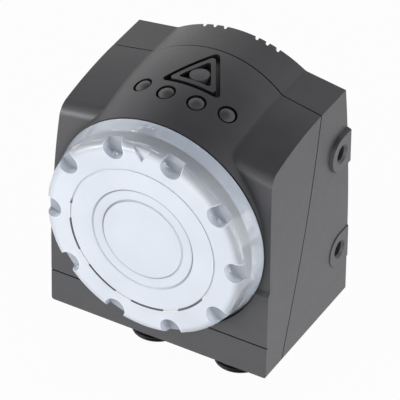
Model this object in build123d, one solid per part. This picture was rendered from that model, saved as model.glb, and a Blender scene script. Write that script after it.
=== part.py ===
# Compact industrial vision sensor with a twist-on clear optics cover, built at real size in millimetres.
# Axes: +X to the right seen from the front, -Y out of the front, +Z up.
# All pieces are drawn in the housing frame (optical axis at x = 0, base at z = 0) and moved once at the
# end, so that the origin lies at the middle of the underside of the whole sensor's bounding box.
from build123d import *
import math
import os

# Bezel round the opening for the optics cover
BEZEL_FALL = 0.6
BEZEL_Y = -15.8
LIP = 2.2
LIP_BACKING = 1.1
POCKET_MARGIN = 0.2
RUN_CLEARANCE = 0.08

# Housing outline
SIDE_MARGIN = 0.85
CHIN_HEIGHT = 5.05
SHOULDER_DROP = 3.65
SIDE_BREAK_Z = 16.0
SIDE_RADIUS = 467.0
TOP_SLOPE = 8.5
BASE_CORNER = 0.6
REAR_Y = 17.0
WALL = 2.0

# Front of the housing: chin below, face above, brow on top
CHIN_FOOT_Y = -17.35
CHIN_LEAN = 0.5
CHIN_TOP_Z = 21.0
FACE_FOOT_Y = -16.1
FACE_FOOT_Z = 21.9
FACE_RADIUS = 176.0
BROW_START_Y = 6.65
BROW_RADIUS = 78.0
BROW_ROUND = 3.2
SEAM_Z = 7.85
SEAM_WIDTH = 0.3
SEAM_DEPTH = 0.35

# Hump around the optical axis, which sinks forward to the tip of the bezel
HUMP_RISE = 2.35
HUMP_SINK = 6.7
HUMP_FOOT_ROUND = 2.0

# Slanted joint between the housing halves, from the start of the brow to the front of the base
PART_FOOT_Y = -10.8
JOINT_GAP = 0.3
SEAL_INSET = 0.45
SEAL_WIDTH = 1.2

# Optics cover
COVER_Y = -23.4
COVER_EDGE_GAP = 0.15
COVER_CONE = 1.25
COVER_RIM_ROUND = 1.5
COVER_GAP = 0.3
COVER_PLATE = 3.0
NECK_SETBACK = 5.5
NECK_WALL = 1.9
NECK_END_Y = -12.1
LUG_COUNT = 3
FIRST_LUG_ANGLE = 60.0
LUG_REACH = 1.4
LUG_THICKNESS = 1.2
LUG_ANGLE = 20.0
SLOT_ANGLE = 24.0
UNLOCK_ANGLE = 36.0
GRIP_COUNT = 10
GRIP_RADIUS = 2.4
GRIP_EDGE = 1.45
GRIP_DEPTH = 2.3
INDEX_EDGE = 0.25
INDEX_LENGTH = 3.0
INDEX_HALF_WIDTH = 1.95
INDEX_DEPTH = 0.6
FACE_LINE_WIDTH = 0.35
FACE_LINE_DEPTH = 0.25
FACE_RING_DEPTH = 0.3
FACE_RING_SLOPE = 0.2
COVER_SEAL_EDGE = 3.6
COVER_SEAL_WIDTH = 1.0
COVER_SEAL_DEPTH = 1.2
COVER_SEAL_PROUD = 0.15

# Lens baffle, ring light and diffuser
BAFFLE_CLEARANCE = 1.25
BAFFLE_WALL = 2.3
BAFFLE_GAP = 0.4
BAFFLE_STEP = 1.2
BAFFLE_STEP_THICKNESS = 0.7
DIFFUSER_GAP = 0.1
DIFFUSER_THICKNESS = 1.0
DIFFUSER_Y = -17.9
RING_WIDTH = 4.65
RING_CLEARANCE = 0.3
LIGHT_BOARD = 1.0
LED_COUNT = 10
LED_SIZE = 2.6
LED_BASE = 0.8
LED_DOME = 0.7
LED_DOME_FOOT = 1.04
LED_DOME_TOP = 0.52

# Optics frame
FRAME_Y = -11.6
FRAME_THICKNESS = 2.0
FRAME_INSET = 3.4
FRAME_DROP = 19.2
FRAME_RISE = 12.4
FRAME_CORNER = 2.5
FRAME_TAB_HALF = 5.0
FRAME_TAB_MARGIN = 3.0
FRAME_TUBE_WALL = 1.6
FRAME_TUBE_LENGTH = 3.9
FRAME_STEP = 1.0

# Lens
BARREL_RADIUS = 6.6
BARREL_Y = -17.0
BARREL_LENGTH = 14.0
BARREL_FRONT_BORE = 5.6
BARREL_REAR_BORE = 4.6
BARREL_STOP_BORE = 3.2
FRONT_BORE_DEPTH = 3.1
STOP_THICKNESS = 0.8
LENS_FIT = 0.1
FRONT_LENS_THICKNESS = 2.2
FRONT_LENS_BULGE = 0.5
REAR_LENS_THICKNESS = 2.0
REAR_LENS_BULGE = 0.4
REAR_LENS_RECESS = 1.5
LENS_RETAINER_WIDTH = 1.0
LENS_RETAINER_THICKNESS = 0.7
KEY_WIDTH = 1.2
KEY_DEPTH = 0.5

# Focus gear pair
MODULE = 0.5
GEAR_TEETH = 48
PINION_TEETH = 12
GEAR_ADDENDUM = 0.75
PINION_ADDENDUM = 1.0
DEDENDUM = 1.25
BACKLASH = 0.1
PRESSURE_ANGLE = 20.0
GEAR_WIDTH = 2.8
GEAR_GAP = 0.2
RETAINER_THICKNESS = 1.2
RETAINER_BORE = 7.4
RETAINER_EDGE = 1.0
RETAINER_POSTS = 3
FIRST_POST_ANGLE = 60.0
RETAINER_POST_PITCH = 14.8
RETAINER_POST_RADIUS = 1.7
RETAINER_EAR = 0.5
RETAINER_SCREW_LENGTH = 3.6

# Focus screw
FOCUS_SHAFT_RADIUS = 1.5
FOCUS_HEAD_RADIUS = 2.6
FOCUS_HEAD = 3.2
FOCUS_HEAD_SUNK = 0.6
FOCUS_BORE_DEPTH = 5.6
FOCUS_BOSS_RADIUS = 4.4
FOCUS_BOSS_FLOOR = 0.8
FOCUS_SEAL = 1.5
FOCUS_PIVOT_RADIUS = 1.0
FOCUS_PIVOT_GAP = 0.4
FOCUS_SLOT = 0.8
FOCUS_SLOT_DEPTH = 1.2

# Boards behind the lens
SENSOR_BOARD_Y = 0.4
MAIN_BOARD_Y = 8.0
BOARD_THICKNESS = 1.6
BOARD_INSET = 8.0
BOARD_DROP = 17.0
BOARD_RISE = 13.0
POST_INSET = 1.8
POST_LOW_INSET = 3.2
POST_HIGH_INSET = 2.2
POST_RADIUS = 2.2
BOARD_SCREW_BITE = 4.0
SENSOR_SIZE = 9.0
SENSOR_THICKNESS = 1.2
CHIP_SIZE = 14.0
CHIP_THICKNESS = 1.6
PAD_THICKNESS = 1.4
CONNECTOR_BOARD_Z = 9.3
CONNECTOR_BOARD_FRONT = -8.0
CONNECTOR_BOARD_REAR = 12.0
LINK_HALF_WIDTH = 9.0
LINK_INSET = 1.0
LINK_HEIGHT = 3.5
IO_LINK_HALF_WIDTH = 6.0
IO_LINK_DEPTH = 2.6
IO_LINK_GRIP = 0.8

# Screws: shank radius, head radius, head height
COVER_SCREW = (1.5, 2.5, 1.8)
SMALL_SCREW = (1.0, 1.9, 1.3)
TINY_SCREW = (0.8, 1.5, 1.0)
HEX_WIDTH_SHARE = 0.55
HEX_DEPTH_SHARE = 0.6
THREAD_GAP = 0.05
TIP_GAP = 0.3
SCREW_CLEARANCE = 0.1
LOW_SCREW_INSET = 4.5
LOW_SCREW_Z = 5.0
HIGH_SCREW_INSET = 5.5
HIGH_SCREW_DROP = 4.5
COVER_SCREW_BITE = 4.5
COVER_BOSS_END = 3.0
COLUMN_RADIUS = 2.9
COLUMN_INSET = 0.4
OPTICS_LOW_INSET = 5.0
OPTICS_LOW_RISE = 2.8
OPTICS_HIGH_INSET = 4.8
OPTICS_HIGH_DROP = 2.6
OPTICS_BOSS_RADIUS = 2.2
OPTICS_SCREW_LENGTH = 3.8

# Side mounting pads with M4 threads
PAD_PROUD = 0.2
PAD_Y = 13.3
PAD_LOW_Z = 13.3
PAD_SPACING = 25.0
PAD_HALF_HEIGHT = 4.0
PAD_DRAFT = 21.0
PAD_SKIRT = 2.0
PAD_BOSS_DEPTH = 7.0
PAD_THREAD_RADIUS = 1.65
PAD_THREAD_DEPTH = 6.0
PAD_SINK_RADIUS = 2.2

# Cooling grooves in the rear face
GROOVE_FIRST_X = 3.75
GROOVE_PITCH = 2.47
GROOVE_COUNT = 3
GROOVE_WIDTH = 0.9
GROOVE_DEPTH = 0.9
GROOVE_FOOT_Z = 10.0

# M12 connectors under the base
CONNECTOR_X = 10.2
CONNECTOR_LENGTH = 13.05
THREAD_RADIUS = 6.0
THREAD_CHAMFER = 0.35
SHELL_BORE = 4.4
FLANGE_RADIUS = 7.4
FLANGE_THICKNESS = 1.4
GASKET_THICKNESS = 0.4
GASKET_EDGE = 0.2
STEM_HEIGHT = 6.0
STEM_CLEARANCE = 0.08
NUT_FLATS = 14.0
NUT_THICKNESS = 2.5
INSERT_GAP = 0.05
INSERT_TOP = 5.6
POWER_INSERT_DEPTH = 8.0
DATA_INSERT_DEPTH = 1.2
PIN_RADIUS = 0.38
PIN_RECESS = 1.6
OUTER_PINS = 9
OUTER_PIN_RADIUS = 2.9
INNER_PINS = 3
INNER_PIN_RADIUS = 1.2
SOCKET_COUNT = 4
SOCKET_PITCH_RADIUS = 2.3
SOCKET_RADIUS = 0.9
SOCKET_BORE = 0.5
SOCKET_DEPTH = 6.0

# Button, triangle surround and status lights on the brow
BUTTON_Y = -0.2
BUTTON_RADIUS = 2.1
BUTTON_GAP = 0.12
BUTTON_TRAVEL = 0.5
BUTTON_FLANGE = 0.7
BUTTON_FLANGE_THICKNESS = 0.8
BUTTON_STEM_RADIUS = 1.2
BUTTON_DOME = 0.15
UNDER_WALL_GAP = 0.1
TRIANGLE_OUTER = 8.3
TRIANGLE_FRAME = 6.5
TRIANGLE_INNER = 4.55
TRIANGLE_TIP_ROUND = 0.85
TRIANGLE_DEPTH = 1.2
LIGHT_ANGLES = (-22.1, -7.8, 7.8, 22.1)
LIGHT_Y = (-6.2, -7.7, -7.7, -6.2)
LIGHT_RADIUS = 1.65
LIGHT_WELL_RADIUS = 2.1
LIGHT_WELL_DEPTH = 1.0
LIGHT_PROUD = 0.3
LIGHT_DOME = 0.55
LIGHT_LENGTH = 6.0
LIGHT_FLANGE = 0.7
LIGHT_FOOT_GAP = 0.2
INDICATOR_DROP = 8.7
INDICATOR_BOARD_THICKNESS = 0.8
INDICATOR_BOARD_HALF = 12.2
INDICATOR_BOARD_FRONT = -9.3
INDICATOR_BOARD_REAR = 5.0
INDICATOR_POST = (10.0, 2.4)
INDICATOR_POST_RADIUS = 1.8
INDICATOR_SCREW_LENGTH = 3.2
SWITCH_SIZE = 4.5
SWITCH_HEIGHT = 1.5
CHIP_LED = (1.6, 0.6)

# Run of one body into another that it is joined to or cut from, and reach of a cutting body
FUSE = 1.0
OVERSHOOT = 12.0
FAR = 80.0


# Distance that an arc of the given radius falls over a run
def arc_fall(radius, run):
    return radius - math.sqrt(radius * radius - run * run)


# Radius of the arc or ball that has the given half-width and height
def cap_radius(half_width, height):
    return (half_width**2 + height**2) / (2 * height)


# Radii from the lens outwards: its tube, baffle, ring light, cover, bezel and housing
FRAME_TUBE_RADIUS = BARREL_RADIUS + FRAME_TUBE_WALL
BAFFLE_BORE = FRAME_TUBE_RADIUS + BAFFLE_CLEARANCE
BAFFLE_RADIUS = BAFFLE_BORE + BAFFLE_WALL
DIFFUSER_RADIUS = BAFFLE_RADIUS + RING_WIDTH
NECK_BORE = DIFFUSER_RADIUS + 2 * RING_CLEARANCE
NECK_RADIUS = NECK_BORE + NECK_WALL
OPENING_RADIUS = NECK_RADIUS + RUN_CLEARANCE
LUG_RADIUS = NECK_RADIUS + LUG_REACH
COVER_BACK_RADIUS = NECK_RADIUS + NECK_SETBACK
COVER_RIM_RADIUS = COVER_BACK_RADIUS - COVER_CONE
BEZEL_TIP_RADIUS = COVER_BACK_RADIUS + COVER_EDGE_GAP
POCKET_RADIUS = BEZEL_TIP_RADIUS + POCKET_MARGIN
BEZEL_RADIUS = BEZEL_TIP_RADIUS + BEZEL_FALL
HUMP_RADIUS = BEZEL_RADIUS + HUMP_RISE
HALF_WIDTH = BEZEL_RADIUS + SIDE_MARGIN

# Places that follow from the radii
AXIS_Z = BEZEL_RADIUS + CHIN_HEIGHT
SIDE_TOP_Z = AXIS_Z + BEZEL_RADIUS - SHOULDER_DROP
HUMP_FLOOR_Z = SIDE_TOP_Z - HUMP_SINK
OPTICAL_AXIS = Axis((0, 0, AXIS_Z), (0, 1, 0))
AXIS_PLANE = Plane(origin=(0, 0, AXIS_Z))
LIP_Y = BEZEL_Y + LIP
HUMP_ARC_RADIUS = cap_radius(BROW_START_Y - BEZEL_Y, HUMP_RISE + BEZEL_FALL)
HUMP_FRONT_Y = BROW_START_Y - math.sqrt(HUMP_ARC_RADIUS**2 - (HUMP_ARC_RADIUS - HUMP_RISE) ** 2)
PARTING_LEAN = (BROW_START_Y - PART_FOOT_Y) / SIDE_TOP_Z
REAR_INNER_Y = REAR_Y - WALL
COVER_BACK_Y = BEZEL_Y - COVER_GAP
COVER_INNER_Y = COVER_Y + COVER_PLATE
GRIP_PITCH_RADIUS = COVER_RIM_RADIUS - GRIP_EDGE
INDEX_BASE_RADIUS = COVER_RIM_RADIUS - INDEX_EDGE
COVER_SEAL_RADIUS = NECK_RADIUS + COVER_SEAL_EDGE
BAFFLE_Y = COVER_INNER_Y + BAFFLE_GAP
FRAME_BACK_Y = FRAME_Y + FRAME_THICKNESS
FRAME_HALF_WIDTH = HALF_WIDTH - FRAME_INSET
FRAME_FOOT_Z = AXIS_Z - FRAME_DROP
FRAME_TOP_Z = AXIS_Z + FRAME_RISE
GEAR_Y = FRAME_BACK_Y + GEAR_GAP
GEAR_BACK_Y = GEAR_Y + GEAR_WIDTH
GEAR_PITCH_RADIUS = MODULE * GEAR_TEETH / 2
PINION_PITCH_RADIUS = MODULE * PINION_TEETH / 2
RETAINER_Y = GEAR_BACK_Y + GEAR_GAP
RETAINER_BACK_Y = RETAINER_Y + RETAINER_THICKNESS
FOCUS_Z = AXIS_Z + GEAR_PITCH_RADIUS + PINION_PITCH_RADIUS
BOARD_HALF_WIDTH = HALF_WIDTH - BOARD_INSET
BOARD_FOOT_Z = AXIS_Z - BOARD_DROP
BOARD_TOP_Z = AXIS_Z + BOARD_RISE
CHIP_Y = MAIN_BOARD_Y + BOARD_THICKNESS
POST_LOW = (BOARD_HALF_WIDTH - POST_INSET, BOARD_FOOT_Z + POST_LOW_INSET)
POST_HIGH = (BOARD_HALF_WIDTH - POST_INSET, BOARD_TOP_Z - POST_HIGH_INSET)
COVER_SCREW_LOW = (HALF_WIDTH - LOW_SCREW_INSET, LOW_SCREW_Z)
COVER_SCREW_HIGH = (HALF_WIDTH - HIGH_SCREW_INSET, SIDE_TOP_Z - HIGH_SCREW_DROP)
OPTICS_SCREW_LOW = (HALF_WIDTH - OPTICS_LOW_INSET, FRAME_FOOT_Z + OPTICS_LOW_RISE)
OPTICS_SCREW_HIGH = (HALF_WIDTH - OPTICS_HIGH_INSET, FRAME_TOP_Z - OPTICS_HIGH_DROP)
PAD_X = HALF_WIDTH + PAD_PROUD
INDICATOR_BOARD_Z = AXIS_Z + HUMP_RADIUS - INDICATOR_DROP
INDICATOR_TOP_Z = INDICATOR_BOARD_Z + INDICATOR_BOARD_THICKNESS
ORIGIN_SHIFT = (0, -(COVER_Y + REAR_Y) / 2, CONNECTOR_LENGTH)


# Half-width of the outer wall at a height
def side_x(z):
    return HALF_WIDTH - arc_fall(SIDE_RADIUS, max(0.0, z - SIDE_BREAK_Z))


# Height lost by the hump at a depth
def brow_fall(y):
    return arc_fall(HUMP_ARC_RADIUS, max(0.0, BROW_START_Y - y))


# Height of the hump's skin over a point
def hump_z(x, y):
    return AXIS_Z + math.sqrt((HUMP_RADIUS - brow_fall(y)) ** 2 - x * x)


# Depth of the chin's front plane at a height
def chin_y(z):
    return CHIN_FOOT_Y + CHIN_LEAN * z / CHIN_TOP_Z


# Depth of the slanted housing joint at a height
def parting_y(z):
    return PART_FOOT_Y + PARTING_LEAN * z


# Point at a radius and clock angle about the optical axis, 0 degrees at the top
def clock(radius, angle, y):
    turn = math.radians(angle)
    return (radius * math.sin(turn), y, AXIS_Z + radius * math.cos(turn))


# Cylinder between two points
def rod(radius, start, end):
    line = Vector(*end) - Vector(*start)
    return extrude(Plane(origin=start, z_dir=line) * Circle(radius), line.length)


# Cylinder along Y
def rod_y(radius, x, z, y_from, y_to):
    return rod(radius, (x, y_from, z), (x, y_to, z))


# Box from two opposite corners
def block(low, high):
    size = [b - a for a, b in zip(low, high)]
    centre = [(a + b) / 2 for a, b in zip(low, high)]
    return Pos(*centre) * Box(*size)


# Body of revolution about the optical axis, from (radius, y) points
def turned(points, angle=360.0):
    outline = AXIS_PLANE * make_face(Polyline(*points, close=True))
    return revolve(outline, OPTICAL_AXIS, angle)


# Ring about the optical axis
def ring(inner, outer, y_from, y_to):
    return turned([(inner, y_from), (outer, y_from), (outer, y_to), (inner, y_to)])


# Part of a ring, centred on a clock angle
def ring_sector(inner, outer, y_from, y_to, centre_angle, width_angle):
    points = [(inner, y_from), (outer, y_from), (outer, y_to), (inner, y_to)]
    outline = AXIS_PLANE * make_face(Polyline(*points, close=True))
    sector = revolve(outline, OPTICAL_AXIS, width_angle)
    # The outline starts at clock angle 90, and a positive turn about +Y raises the clock angle
    return sector.rotate(OPTICAL_AXIS, centre_angle - 90 - width_angle / 2)


# Socket screw with its head on the far side of the seat from the shank
def screw(kind, seat, shank_direction, length):
    shank_radius, head_radius, head_height = kind
    seat_point = Vector(*seat)
    along = Vector(*shank_direction).normalized()
    top = seat_point - along * head_height
    body = rod(shank_radius, seat, tuple(seat_point + along * length))
    body += rod(head_radius, seat, tuple(top))
    socket = Plane(origin=tuple(top), z_dir=along) * RegularPolygon(head_radius * HEX_WIDTH_SHARE, 6)
    return body - extrude(socket, head_height * HEX_DEPTH_SHARE)


# Four places mirrored left and right, from a low and a high (x, z) pair
def four_corners(low, high):
    return [(side * x, z) for x, z in (low, high) for side in (-1, 1)]


# Solids of one node that stay separate
def group(solids):
    return Compound([solid for shape in solids for solid in shape.solids()])


# Right half of the housing block without the hump, drawn in by an inset
def half_block(inset):
    wall_x = HALF_WIDTH - inset
    top_z = SIDE_TOP_Z + OVERSHOOT
    flank = Polyline((-OVERSHOOT, inset), (wall_x, inset), (wall_x, SIDE_BREAK_Z))
    bow_end = (side_x(top_z) - inset, top_z)
    bow = TangentArc((wall_x, SIDE_BREAK_Z), bow_end, tangent=(0, 1))
    lid = Polyline(bow_end, (-OVERSHOOT, top_z), (-OVERSHOOT, inset))
    flank_face = make_face([*flank.edges(), bow, *lid.edges()])
    base_corner = flank_face.vertices().sort_by_distance((wall_x, inset, 0))[0]
    flank_face = fillet(base_corner, BASE_CORNER)
    body = extrude(Plane.XZ * flank_face, FAR, both=True)

    brow_end_y = COVER_Y
    brow_run = BROW_START_Y - brow_end_y
    brow_z = SIDE_TOP_Z - inset
    brow_end = (brow_end_y, brow_z - arc_fall(BROW_RADIUS - inset, brow_run))
    brow = TangentArc((BROW_START_Y, brow_z), brow_end, tangent=(-1, 0))
    under = Polyline(brow_end, (brow_end_y, -FAR), (FAR, -FAR), (FAR, brow_z), (BROW_START_Y, brow_z))
    brow_face = make_face([brow, *under.edges()])
    brow_body = extrude(Plane.YZ * brow_face, FAR, both=True)
    ridge = Axis((side_x(SIDE_TOP_Z), 0, SIDE_TOP_Z), (0, 1, 0))
    body &= brow_body.rotate(ridge, TOP_SLOPE)

    face_foot = (FACE_FOOT_Y + inset, FACE_FOOT_Z)
    face_top = (face_foot[0] + arc_fall(FACE_RADIUS, top_z - FACE_FOOT_Z), top_z)
    face = TangentArc(face_foot, face_top, tangent=(0, 1))
    rest = Polyline(
        face_top,
        (REAR_Y - inset, top_z),
        (REAR_Y - inset, inset),
        (CHIN_FOOT_Y + inset, inset),
        (chin_y(CHIN_TOP_Z) + inset, CHIN_TOP_Z),
        face_foot,
    )
    side_face = make_face([face, *rest.edges()])
    body &= extrude(Plane.YZ * side_face, FAR, both=True)
    body &= block((0, -FAR, -FAR), (FAR, FAR, FAR))
    return body


# Outer edge between brow and face, rounded on the right half
def rounded_half():
    body = half_block(0)
    front_edges = [
        edge
        for edge in body.edges()
        if edge.center().Y < BEZEL_Y / 2 and edge.bounding_box().size.X > HALF_WIDTH / 2
    ]
    brow_edge = max(front_edges, key=lambda edge: edge.center().Z)
    return fillet(brow_edge, BROW_ROUND)


# Hump: a body of revolution about the optical axis that sinks forward with the brow
def hump_block(inset):
    crest = HUMP_RADIUS - inset
    front = (crest - arc_fall(HUMP_ARC_RADIUS - inset, BROW_START_Y - HUMP_FRONT_Y), HUMP_FRONT_Y)
    fall_arc = TangentArc((crest, BROW_START_Y), front, tangent=(0, -1))
    rear_y = REAR_Y - inset
    rest = Polyline(front, (0, HUMP_FRONT_Y), (0, rear_y), (crest, rear_y), (crest, BROW_START_Y))
    outline = AXIS_PLANE * make_face([fall_arc, *rest.edges()])
    body = revolve(outline, OPTICAL_AXIS)
    return body & block((-FAR, -FAR, HUMP_FLOOR_Z), (FAR, FAR, FAR))


# Bezel ring that the optics cover turns in; its skin carries the hump's arc on to the tip
def bezel():
    back_y = LIP_Y + LIP_BACKING
    middle_y = (BEZEL_Y + HUMP_FRONT_Y) / 2
    tip = (BEZEL_TIP_RADIUS, BEZEL_Y)
    shoulder = (BEZEL_RADIUS, HUMP_FRONT_Y)
    skin = ThreePointArc(tip, (HUMP_RADIUS - brow_fall(middle_y), middle_y), shoulder)
    rest = Polyline(
        shoulder,
        (BEZEL_RADIUS, back_y),
        (BEZEL_RADIUS - WALL, back_y),
        (BEZEL_RADIUS - WALL, LIP_Y),
        (OPENING_RADIUS, LIP_Y),
        (OPENING_RADIUS, BEZEL_Y),
        tip,
    )
    return revolve(AXIS_PLANE * make_face([skin, *rest.edges()]), OPTICAL_AXIS)


# True for an edge that runs along the foot of the hump
def at_hump_foot(edge):
    centre = edge.center()
    skin_radius = HUMP_RADIUS - brow_fall(centre.Y)
    off_skin = math.hypot(centre.X, centre.Z - AXIS_Z) - skin_radius
    return abs(off_skin) < JOINT_GAP and edge.bounding_box().size.Y > 2 * HUMP_FOOT_ROUND


# Whole outer block of the housing before it is hollowed and parted
def outer_block():
    right = rounded_half()
    body = right + mirror(right, Plane.YZ) + hump_block(0)
    return fillet([edge for edge in body.edges() if at_hump_foot(edge)], HUMP_FOOT_ROUND)


# Inside of the housing
def inner_block():
    right = half_block(WALL)
    return right + mirror(right, Plane.YZ) + hump_block(WALL)


# Half-space in front of or behind the slanted joint, at a signed distance from it
def joint_side(offset, front):
    normal = Vector(0, -1 if front else 1, 0).rotate(Axis.X, -math.degrees(math.atan(PARTING_LEAN)))
    base = Vector(0, PART_FOOT_Y, 0) + normal * offset
    place = Plane(origin=tuple(base), x_dir=(1, 0, 0), z_dir=normal)
    return extrude(place * Rectangle(4 * FAR, 4 * FAR), FAR)


# Thin slab between the two halves, filled by the gasket
def joint_slab():
    return joint_side(-JOINT_GAP / 2, True) & joint_side(-JOINT_GAP / 2, False)


# Triangle with rounded tips, one tip to the rear, as a prism through the brow
def triangle_prism(tip_radius):
    outline = RegularPolygon(tip_radius, 3, rotation=90)
    outline = fillet(outline.vertices(), TRIANGLE_TIP_ROUND * tip_radius / TRIANGLE_OUTER)
    return extrude(Pos(0, BUTTON_Y, SIDE_TOP_Z) * outline, OVERSHOOT)


# Point of a status light on the hump's skin, and the direction straight out of the skin there
def light_place(index):
    angle = LIGHT_ANGLES[index]
    y = LIGHT_Y[index]
    lean = math.degrees(math.asin((BROW_START_Y - y) / HUMP_ARC_RADIUS))
    outward = Vector(0, 0, 1).rotate(Axis.X, lean).rotate(Axis.Y, angle)
    return Vector(*clock(HUMP_RADIUS - brow_fall(y), angle, y)), outward


# Rod along a status light's own axis, from one height over the skin to another
def light_rod(index, radius, low, high):
    seat, outward = light_place(index)
    return rod(radius, tuple(seat + outward * low), tuple(seat + outward * high))


# Front half of the housing
def make_front_cover(outer, inner):
    body = (outer - inner) & joint_side(JOINT_GAP / 2, True)
    body += bezel()
    # Bosses for the optics frame, the cover screws and the indicator board
    for x, z in four_corners(OPTICS_SCREW_LOW, OPTICS_SCREW_HIGH):
        body += rod_y(OPTICS_BOSS_RADIUS, x, z, CHIN_FOOT_Y, FRAME_Y) & outer
    for x, z in four_corners(COVER_SCREW_LOW, COVER_SCREW_HIGH):
        boss = rod_y(COLUMN_RADIUS, x, z, CHIN_FOOT_Y, REAR_Y) & outer & joint_side(JOINT_GAP / 2, True)
        boss_y = parting_y(z) - COVER_SCREW_BITE - COVER_BOSS_END
        body += boss & block((-FAR, boss_y, -FAR), (FAR, FAR, FAR))
    for side in (-1, 1):
        x, y = side * INDICATOR_POST[0], INDICATOR_POST[1]
        body += rod(INDICATOR_POST_RADIUS, (x, y, INDICATOR_TOP_Z), (x, y, FAR)) & outer
        tip_z = INDICATOR_BOARD_Z + INDICATOR_SCREW_LENGTH + TIP_GAP
        body -= rod(TINY_SCREW[0] + THREAD_GAP, (x, y, INDICATOR_TOP_Z), (x, y, tip_z))
    for x, z in four_corners(OPTICS_SCREW_LOW, OPTICS_SCREW_HIGH):
        tip_y = FRAME_BACK_Y - OPTICS_SCREW_LENGTH - TIP_GAP
        body -= rod_y(SMALL_SCREW[0] + THREAD_GAP, x, z, FRAME_Y, tip_y)
    for x, z in four_corners(COVER_SCREW_LOW, COVER_SCREW_HIGH):
        body -= rod_y(COVER_SCREW[0] + THREAD_GAP, x, z, REAR_Y, parting_y(z) - COVER_SCREW_BITE - TIP_GAP)
    # Opening and pocket that the optics cover sits in, with room for its lugs and ways in for them
    body -= ring(0, OPENING_RADIUS, COVER_Y, LIP_Y)
    body -= ring(0, LUG_RADIUS + COVER_GAP, LIP_Y, FRAME_Y)
    body -= ring(0, POCKET_RADIUS, COVER_Y, BEZEL_Y)
    for number in range(LUG_COUNT):
        slot_angle = FIRST_LUG_ANGLE - UNLOCK_ANGLE + number * 360 / LUG_COUNT
        body -= ring_sector(
            OPENING_RADIUS - FUSE, LUG_RADIUS + COVER_GAP, COVER_Y, LIP_Y, slot_angle, SLOT_ANGLE
        )
    seal_inner = COVER_SEAL_RADIUS - COVER_SEAL_WIDTH / 2
    body -= ring(seal_inner, seal_inner + COVER_SEAL_WIDTH, COVER_Y, BEZEL_Y + COVER_SEAL_DEPTH)
    # Triangle surround: a groove, a frame left standing, and a pocket round the button
    groove = triangle_prism(TRIANGLE_OUTER) - triangle_prism(TRIANGLE_FRAME)
    body -= (groove + triangle_prism(TRIANGLE_INNER)) - hump_block(TRIANGLE_DEPTH)
    body -= rod(BUTTON_RADIUS + BUTTON_GAP, (0, BUTTON_Y, SIDE_TOP_Z), (0, BUTTON_Y, FAR))
    for index in range(len(LIGHT_ANGLES)):
        body -= light_rod(index, LIGHT_RADIUS + RUN_CLEARANCE, -LIGHT_LENGTH, LIGHT_WELL_RADIUS)
        body -= light_rod(index, LIGHT_WELL_RADIUS, -LIGHT_WELL_DEPTH, LIGHT_WELL_RADIUS)
    # Fine seam line across the chin
    half_seam = SEAM_WIDTH / 2
    seam_floor = chin_y(SEAM_Z) + SEAM_DEPTH
    return body - block((-FAR, COVER_Y, SEAM_Z - half_seam), (FAR, seam_floor, SEAM_Z + half_seam))


# One side pad on the right: a drafted D-shaped boss, cut flat by the rear face
def side_pad(z):
    height = 2 * PAD_HALF_HEIGHT
    outline = Circle(PAD_HALF_HEIGHT) + Pos(PAD_HALF_HEIGHT, 0) * Rectangle(height, height)
    place = Plane(origin=(PAD_X, PAD_Y, z), x_dir=(0, 1, 0), z_dir=(-1, 0, 0))
    pad = extrude(place * outline, PAD_SKIRT, taper=-PAD_DRAFT)
    inner = extrude(place * outline, PAD_BOSS_DEPTH)
    return (pad + inner) & block((0, -FAR, 0), (FAR, REAR_Y, FAR))


# Threaded hole of a side pad with its countersink
def side_thread(z):
    hole = rod(PAD_THREAD_RADIUS, (PAD_X, PAD_Y, z), (PAD_X - PAD_THREAD_DEPTH, PAD_Y, z))
    sink_depth = PAD_SINK_RADIUS - PAD_THREAD_RADIUS
    sink = Plane(origin=(PAD_X, PAD_Y, z), z_dir=(-1, 0, 0)) * Circle(PAD_SINK_RADIUS)
    return hole + extrude(sink, sink_depth, taper=45)


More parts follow.
